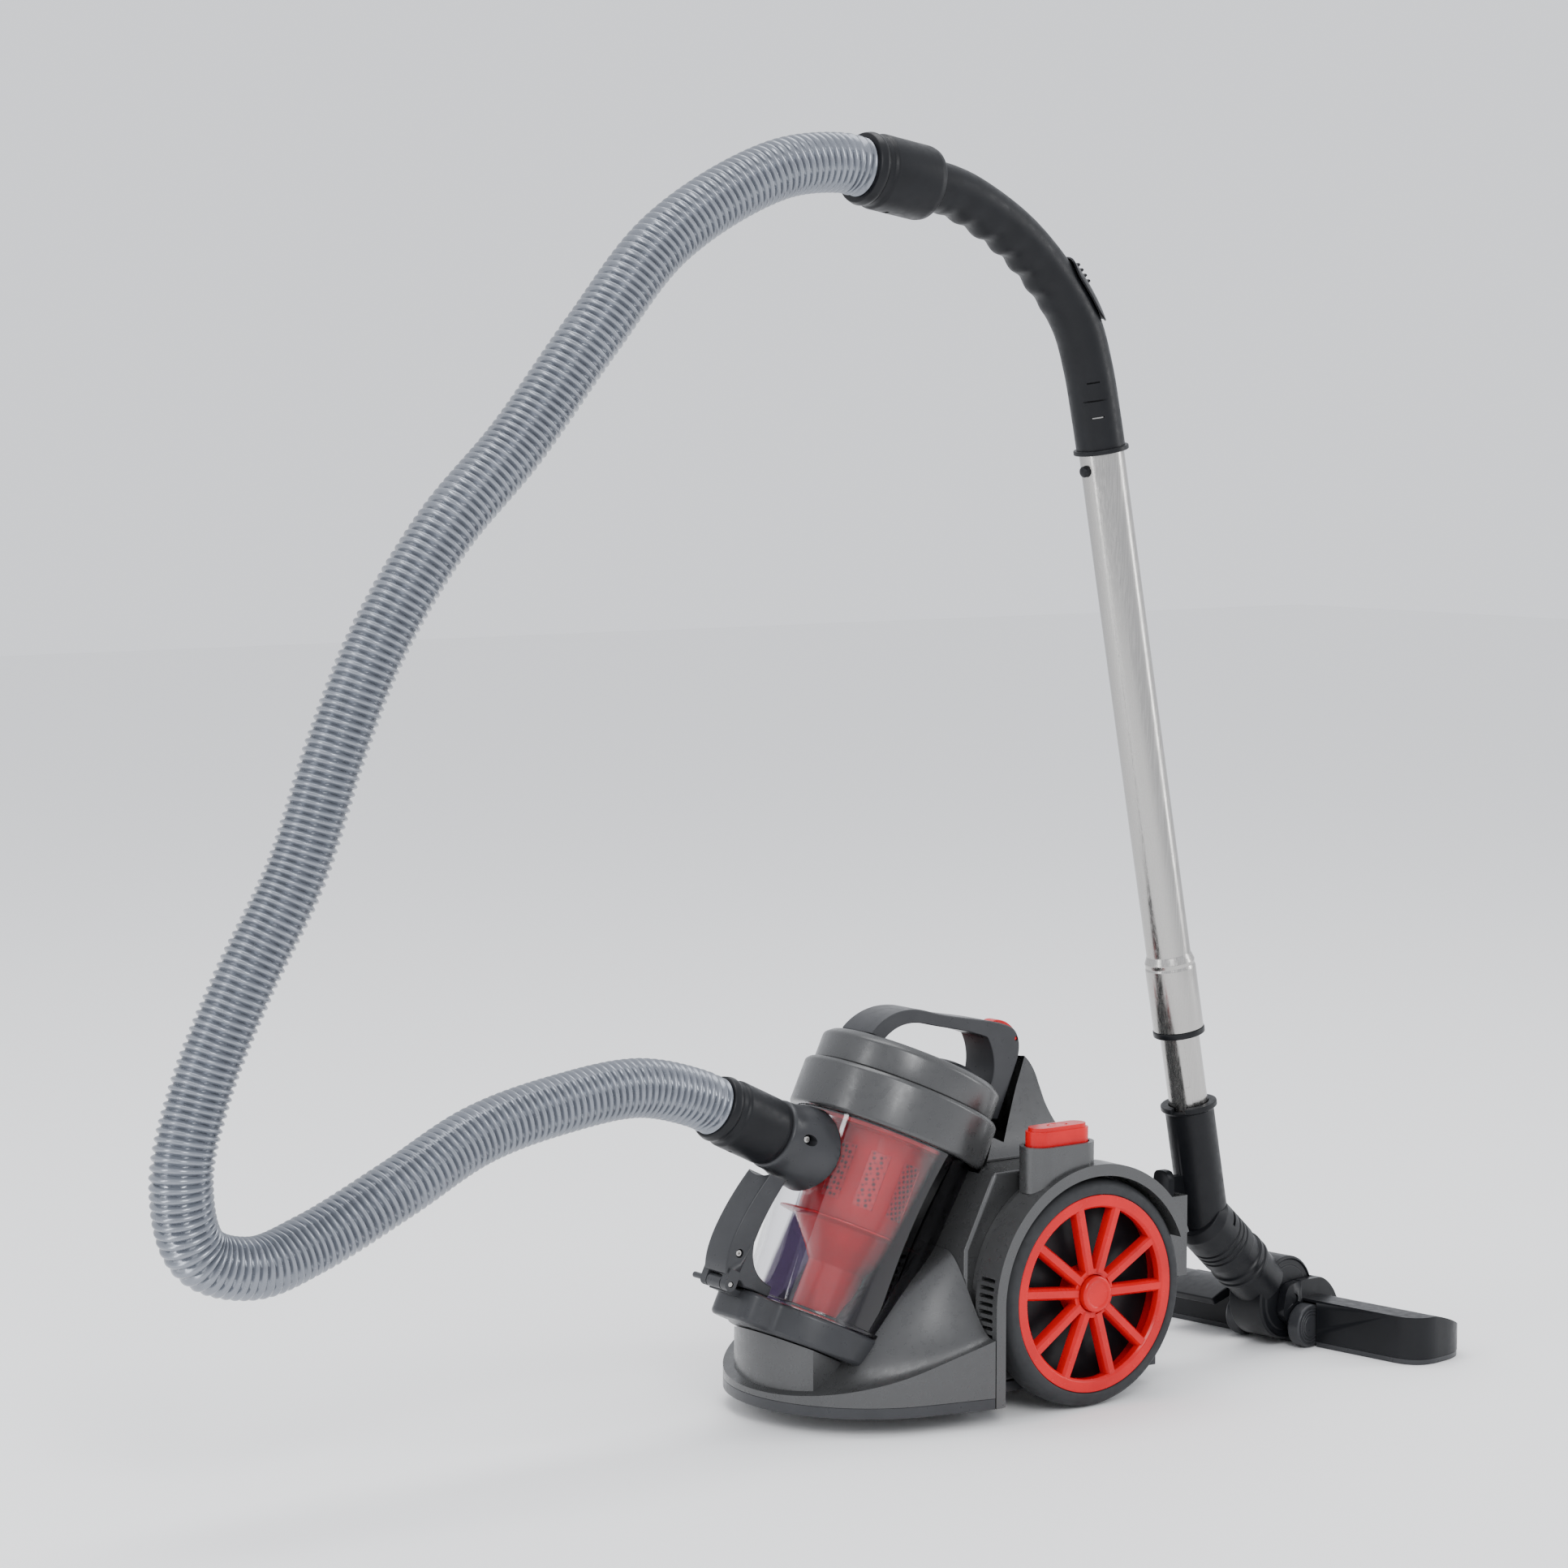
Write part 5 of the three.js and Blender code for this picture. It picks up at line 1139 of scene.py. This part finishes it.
def make_arch(side_name, mirror):
    place = MACHINE @ Matrix.Scale(mirror, 4, (0, 1, 0))
    inner = WHEEL_RADIUS + 3

    def band(outer):
        line = arc(0, WHEEL_RADIUS, outer, 22, 180, 64)
        line += [(-outer, BASE_BOTTOM), (-inner, BASE_BOTTOM)]
        return line + arc(0, WHEEL_RADIUS, inner, 180, 22, 64)

    web = prism("web", band(inner + 4), BODY_HALF + GAP, ARCH_INSIDE + 1, place, "xz")
    arch = prism("arch_" + side_name + "_cover", band(ARCH_RADIUS), ARCH_INSIDE, FLARE_HALF, place, "xz")
    room = rod(inner, 80, 130, at(place, 0, 0, WHEEL_RADIUS) @ Y_AXIS)
    spot = at(place, BUTTON_X, BUTTON_Y, 0)
    collar = prism("collar", bar_outline(BUTTON_LENGTH + 9, BUTTON_WIDTH + 9), 170, 205, spot)
    cut(collar, room)
    fuse(arch, web, collar)
    well = prism("well", bar_outline(BUTTON_LENGTH + 2, BUTTON_WIDTH + 2), WELL_FLOOR, 210, spot)
    slots = []
    for i in range(9):
        outline = rounded([(ARCH_INSIDE + 4, 60 + 6 * i), (FLARE_HALF - 5, 60 + 6 * i),
                           (FLARE_HALF - 5, 63 + 6 * i), (ARCH_INSIDE + 4, 63 + 6 * i)], 1.4)
        slots.append(prism("slot", outline, -ARCH_RADIUS - 2, 2 - inner, place, "yz"))
    cut(arch, well, *slots)
    bevel(arch, 1.3, 3, 40)
    piece(arch, GUNMETAL, "root", "arch_" + side_name)


def make_button(name, node, body, mirror, mark):
    place = at(MACHINE, BUTTON_X, mirror * BUTTON_Y, 0)
    button = prism(name, bar_outline(BUTTON_LENGTH, BUTTON_WIDTH), WELL_FLOOR + 5, 216, place)
    top = prism("top", bar_outline(BUTTON_LENGTH - 4, BUTTON_WIDTH - 4), 215, 219, place)
    fuse(button, top)
    tools = mark(at(place, 0, 0, 218.4))
    cut(button, *tools)
    bevel(button, 0.9, 3, 40)
    piece(button, RED, body, node)


def power_mark(place):
    outer, inner = arc(0, 0, 5.2, -60, 240, 40), arc(0, 0, 4.4, 240, -60, 40)
    flat = place @ Matrix.Scale(1.8, 4, (1, 0, 0))
    return [prism("ring", outer + inner, 0, 4, flat), block("stroke", (-0.5, 0.5), (1.5, 6.8), (0, 4), place)]


def rewind_mark(place):
    outline = [(-7, 0), (0, 4.6), (0, 2.2), (8, 2.2), (8, -2.2), (0, -2.2), (0, -4.6)]
    return [prism("arrow", outline, 0, 4, place)]


def make_rear_trim():
    keep("parking_bracket", GUNMETAL, 1.2)
    keep("exhaust_grille", DARK_GREY, 0.5)
    outlet = [(4.5, 0), (9, 0), (9, 4), (7, 12), (4.5, 12)]
    place = at(MACHINE, BODY_REAR + GAP, 40, 56, 90)
    piece(lathe("cord_grommet", outlet, place, 1.2, 48), BLACK, "root", "cord_outlet")


def make_inside():
    place = at(MACHINE, 12 - 38, 0, 92, 90)
    case = [(12, 0), (46, 0), (46, 78), (43, 78), (43, 3), (12, 3)]
    piece(lathe("motor_case", case, place, 1.5, 64), MOTOR, "root", "motor_housing")
    rotor = [(0, -6), (5, -6), (5, 8), (40, 8), (40, 20), (5, 20), (5, 30), (22, 30), (22, 62),
             (5, 62), (5, 76), (0, 76)]
    piece(lathe("motor_armature", rotor, place, 1, 64), COPPER, "motor", "motor_rotor")
    reel = [(6, 54), (46, 54), (46, 56), (20, 56), (20, 77), (46, 77), (46, 79), (6, 79)]
    place = at(MACHINE, 34, 0, 98) @ Y_AXIS
    piece(lathe("mains_cord_reel", reel, place, 0.5, 64), BLACK, "reel", "cord_reel")


def make_caster():
    keep("caster_fork", DARK_GREY, 0.5)
    roll = joints["caster_roll"]["pos_m"]
    place = Matrix.Translation(roll) @ Matrix.Scale(0.001, 4) @ Y_AXIS
    wheel = [(2.5, -6.8), (11, -6.8), (12, -5), (12, 5), (11, 6.8), (2.5, 6.8)]
    piece(lathe("caster_roller_wheel", wheel, place, 0.8, 48), TYRE, "caster_roller", "caster_wheel")
    pin = [(0, -11), (2, -11), (2, 11), (0, 11)]
    piece(lathe("caster_pin", pin, place, 0.4, 32), STEEL, "caster", "caster_axle")


make_deck()
make_tray()
make_rear()
make_tower()
make_arch("right", 1)
make_arch("left", -1)
make_button("power_button_cap", "power_button", "power", -1, power_mark)
make_button("rewind_button_cap", "rewind_button", "rewind", 1, rewind_mark)
make_rear_trim()
make_inside()
make_caster()


# ------------------------------------------------------------------ dust container
BIN_RIM_TOP = BIN_LENGTH + 8
PIN_X, PIN_Z = -HINGE_REACH, -2
KNUCKLE, EAR_INSIDE, EAR_WIDTH = 5.2, 9, 7
INLET_LINE = at(BIN, 0, 0, INLET_HEIGHT, -90)
LID_AXIS = at(BIN, PIN_X, 0, PIN_Z) @ Y_AXIS


def radius_at(height):
    return BIN_BOTTOM_RADIUS + (BIN_TOP_RADIUS - BIN_BOTTOM_RADIUS) / BIN_LENGTH * height


def foot_cut(inset):
    side = [(54 - inset, -2), (90, -2), (90, 60), (radius_at(52) - inset, 52)]
    return prism("foot_cut", side, -80, 80, BIN, "xz")


def make_container():
    outside = lathe("clear_container", [
        (0, 0), (BIN_BOTTOM_RADIUS + 3, 0), (BIN_BOTTOM_RADIUS + 3, 3), (radius_at(3), 3),
        (BIN_TOP_RADIUS, BIN_LENGTH), (BIN_TOP_RADIUS, BIN_RIM_TOP), (0, BIN_RIM_TOP)], BIN, 0.6, 128)
    inside = lathe("inside", [
        (0, -1), (BIN_BOTTOM_RADIUS - BIN_WALL, -1), (BIN_TOP_RADIUS - BIN_WALL, BIN_LENGTH),
        (BIN_TOP_RADIUS - BIN_WALL, BIN_RIM_TOP + 1), (0, BIN_RIM_TOP + 1)], BIN, 0, 128)
    cut(outside, foot_cut(0))
    cut(inside, foot_cut(BIN_WALL))
    bore = rod(BORE, 40, 90, INLET_LINE, 64)
    cut(outside, inside, bore)
    piece(outside, CLEAR, "bin", "container")
    cone = lathe("cyclone", [
        (22, 3), (22, 40), (44, 70), (57, 72), (57, 73.5), (42, 74), (20, 42), (20, 3)], BIN, 1.2)
    piece(cone, SMOKE_RED, "bin", "cyclone_cone")
    wall = lathe("filter_shroud", [
        (42, 74.5), (44, 74.5), (44, 145), (65.5, 145), (65.5, 148), (42, 148)], BIN, 0.4, 128)
    windows = []
    for i in range(10):
        turn = at(BIN, 0, 0, 0, 0, 36 * i + 18)
        windows.append(block("window", (36, 52), (-8, 8), (88, 132), turn))
    cut(wall, *windows)
    bevel(wall, 0.6, 2, 40)
    piece(wall, SHROUD_RED, "bin", "mesh_shroud")
    net = lathe("filter_net", [(42.4, 86), (43.2, 86), (43.2, 134), (42.4, 134)], BIN, 0, 128)
    piece(net, NET, "bin")


def make_inlet():
    bulge = [(0, 40), (INLET_RADIUS + 3, 40), (INLET_RADIUS + 5, 56), (INLET_RADIUS + 5.5, 66),
             (INLET_RADIUS + 4, 80), (INLET_RADIUS + 0.5, 92), (INLET_RADIUS, 97),
             (INLET_RADIUS, INLET_REACH), (0, INLET_REACH)]
    body = lathe("inlet_duct", bulge, INLET_LINE, 6)
    top = (radius_at(BIN_LENGTH) + GAP, BIN_LENGTH)
    shell = lathe("shell", [(0, -5), (radius_at(-5) + GAP, -5), top, (0, BIN_LENGTH)], BIN, 0, 128)
    bore = rod(BORE, 30, INLET_REACH + 1, INLET_LINE, 64)
    spot = at(BIN, -88, -INLET_RADIUS + 3, INLET_HEIGHT + 4)
    oval = [(x * 5.6, y * 4.1) for x, y in arc(0, 0, 1, 0, 352.5, 47)]
    recess = prism("recess", oval, -12, 12, spot, "xz")
    cut(body, shell, bore, recess)
    bevel(body, 0.8, 2, 45)
    piece(body, DARK_GREY, "bin", "inlet_elbow")


def make_screw(name, node, radius, length, place):
    head = [(0, 0), (radius * 0.55, 0), (radius * 0.55, length - 2.5), (radius, length - 2.5),
            (radius, length - 0.6), (radius * 0.8, length), (0, length)]
    body = lathe(name, head, place, 0.3, 40)
    cut(body, prism("hex", arc(0, 0, radius * 0.45, 0, 300, 5), length - 1.4, length + 1, place))
    piece(body, STEEL, "bin", node)


def make_strut():
    foot, out = -radius_at(0) - 2, -HINGE_REACH
    high = INLET_HEIGHT - INLET_RADIUS + 6
    line = [(foot, GAP), (foot, 9)]
    line += bezier((foot, 9), (out + 14, 10), (out + 9, 34), steps=16)
    line += bezier((out + 9, 34), (out + 9, 62), (out + 19, high), steps=16)
    line += [(out + 3, high)] + bezier((out + 3, high), (out - 9, 62), (out - 11, 34), steps=16)
    line += bezier((out - 11, 34), (out - 12, 14), (out - 6, 4), steps=16)
    line += [(out, 3.5), (out + 10, 3.5), (out + 14, GAP)]
    blade = prism("front_strut_blade", line, -14, 14, BIN, "xz")
    bevel(blade, 2.2, 3, 40)
    ears = []
    for side in (-1, 1):
        low = EAR_INSIDE if side > 0 else -EAR_INSIDE - EAR_WIDTH
        ears.append(rod(KNUCKLE, low, low + EAR_WIDTH, LID_AXIS, 48))
        ears.append(block("ear", (PIN_X - KNUCKLE, PIN_X + KNUCKLE), (low, low + EAR_WIDTH), (PIN_Z, 9), BIN))
    elbow_room = rod(INLET_RADIUS + 5.8, 40, 130, INLET_LINE)
    lid_room = prism("lid_room", lid_plan(1), -40, -0.2, BIN)
    reach = EAR_INSIDE + OVERLAP
    middle = rod(KNUCKLE + 1, -reach, reach, LID_AXIS, 48)
    bore = rod(2.3, -30, 30, LID_AXIS, 32)
    hole = rod(3.4, -6, 6, at(BIN, -HINGE_REACH - 1, -14, 22) @ Y_AXIS, 32)
    flange = BIN_BOTTOM_RADIUS + 3.3
    rim = lathe("rim", [(0, -3), (flange, -3), (flange, 3.3), (radius_at(3) + GAP, 3.3),
                        (radius_at(60) + GAP, 60), (0, 60)], BIN, 0, 128)
    cut(blade, middle)
    fuse(blade, *ears)
    cut(blade, elbow_room, lid_room, rim, bore, hole)
    bevel(blade, 0.7, 2, 45)
    piece(blade, DARK_GREY, "bin", "front_strut")


def make_lid():
    lid = prism("bottom_lid_shell", lid_plan(0), -LID_DEPTH, -GAP, BIN)
    bevel(lid, 3.5, 4, 40)
    cut(lid, prism("inside", lid_plan(-3), -LID_DEPTH + 3, 1, BIN))
    bar = rod(KNUCKLE, -EAR_INSIDE + 1, EAR_INSIDE - 1, LID_AXIS, 48)
    arm = block("arm", (PIN_X, -HINGE_REACH + 18), (-EAR_INSIDE + 1, EAR_INSIDE - 1),
                (PIN_Z - KNUCKLE - 1, PIN_Z - 1), BIN)
    fuse(lid, bar, arm)
    cut(lid, rod(2.3, -30, 30, LID_AXIS, 32))
    bevel(lid, 0.7, 2, 45)
    piece(lid, DARK_GREY, "lid", "bottom_lid")
    pin = [(0, -15.5), (2, -15.5), (2, 15.5), (0, 15.5)]
    piece(lathe("lid_hinge_pin", pin, LID_AXIS, 0.4, 32), STEEL, "bin", "lid_pin")


def make_cap():
    inside = BIN_TOP_RADIUS + 0.5
    band = [
        (inside, CAP_BOTTOM), (CAP_RADIUS - 1, CAP_BOTTOM), (CAP_RADIUS, CAP_BOTTOM + 2),
        (CAP_RADIUS, CAP_TOP - 3), (CAP_RADIUS - 2.5, CAP_TOP), (24, CAP_TOP), (24, CAP_TOP - 4),
        (CAP_RADIUS - 3, CAP_TOP - 4),
        (CAP_RADIUS - 3, BIN_RIM_TOP + 2), (inside, BIN_RIM_TOP + 2),
    ]
    piece(lathe("cap_band", band, BIN, 1.0, 160), GUNMETAL, "cap", "cap_lower")
    crown = lathe("cap_crown", [
        (CROWN_RADIUS - 3, CAP_TOP + GAP), (CROWN_RADIUS, CAP_TOP + GAP), (CROWN_RADIUS, CROWN_TOP - 5),
        (CROWN_RADIUS - 6, CROWN_TOP), (0, CROWN_TOP), (0, CROWN_TOP - 3), (CROWN_RADIUS - 6, CROWN_TOP - 3),
        (CROWN_RADIUS - 3, CROWN_TOP - 6)], BIN, 2.0, 160)
    hole = rod(14, CROWN_TOP - 8, CROWN_TOP + 1, at(BIN, 40, 0, 0), 48)
    piece(cut(crown, hole), GUNMETAL, "cap", "cap_upper")
    low = CROWN_TOP + GAP
    dome = [(0, low), (21, low), (21, low + 4), (18.5, low + 8), (13, low + 10.6), (6, low + 11.6),
            (0, low + 11.7)]
    piece(lathe("filter_dome_cap", dome, at(BIN, 40, 0, 0), 2.0, 64), DARK_GREY, "cap", "filter_dome")


def make_handle():
    base = CROWN_TOP + GAP
    front, rear, post = 18, 15, 84
    line = [(-62, base)]
    line += bezier((-62, base), (-56, base + 18), (-38, base + 33), (-12, base + 36), steps=20)
    line += bezier((-12, base + 36), (20, base + 42), (54, base + 56), (70, base + 54), steps=20)
    line += bezier((70, base + 54), (78, base + 52), (83, base + 44), (post, base + 34), steps=12)
    line += [(post, CAP_TOP + 10), (CROWN_RADIUS + 1, CAP_TOP + 6), (CROWN_RADIUS + 1, base), (66, base)]
    line += bezier((66, base), (68, base + 16), (60, base + 30), (48, base + 38), steps=16)
    line += bezier((48, base + 38), (24, base + 36), (4, base + 29), (-12, base + 26), steps=16)
    line += bezier((-12, base + 26), (-30, base + 23), (-42, base + 14), (-48, base), steps=16)
    handle = prism("carry_handle_grip", line, -24, 24, BIN, "xz")
    sides = [(-front - 2, CAP_TOP), (front + 2, CAP_TOP), (rear, base + 70), (-rear, base + 70)]
    common(handle, prism("sides", sides, -90, 100, BIN, "yz"))
    common(handle, rod(post + 2, 0, 400, BIN, 128))
    bevel(handle, 4.0, 4, 40)
    crown = rod(CROWN_RADIUS + GAP, 0, base, BIN, 160)
    dome = rod(22, 0, base + 14, at(BIN, 40, 0, 0), 48)
    pocket = block("pocket", (52, 82), (-6.5, 6.5), (base + 41, base + 90), BIN)
    pin_place = at(BIN, 76, 0, CROWN_TOP + 48) @ Y_AXIS
    bore = rod(1.8, -30, 30, pin_place, 32)
    cut(handle, crown, dome, pocket, bore)
    bevel(handle, 0.5, 2, 45)
    piece(handle, DARK_GREY, "cap", "carry_handle")
    side = [(54, base + 49)]
    side += bezier((54, base + 49), (56, base + 58), (70, base + 60), (80, base + 55), steps=14)
    side += [(80.5, base + 44.5), (72, base + 44.5)]
    button = prism("release_button_red", side, -6, 6, BIN, "xz")
    cut(button, rod(1.8, -10, 10, pin_place, 32))
    bevel(button, 0.9, 3, 40)
    piece(button, RED, "release", "release_button")
    pin = [(0, -rear), (1.5, -rear), (1.5, rear), (0, rear)]
    piece(lathe("release_button_pin", pin, pin_place, 0.4, 32), RED, "cap", "release_pin")


make_container()
make_inlet()
make_screw("inlet_screw_head", "inlet_screw", 3.2, 7,
           at(BIN, -88, -INLET_RADIUS + 10, INLET_HEIGHT + 4) @ Matrix.Rotation(math.radians(90), 4, "X"))
make_screw("strut_screw_head", "strut_screw", 2.8, 4,
           at(BIN, -HINGE_REACH - 1, -9, 22) @ Matrix.Rotation(math.radians(90), 4, "X"))
make_strut()
make_lid()
make_cap()
make_handle()
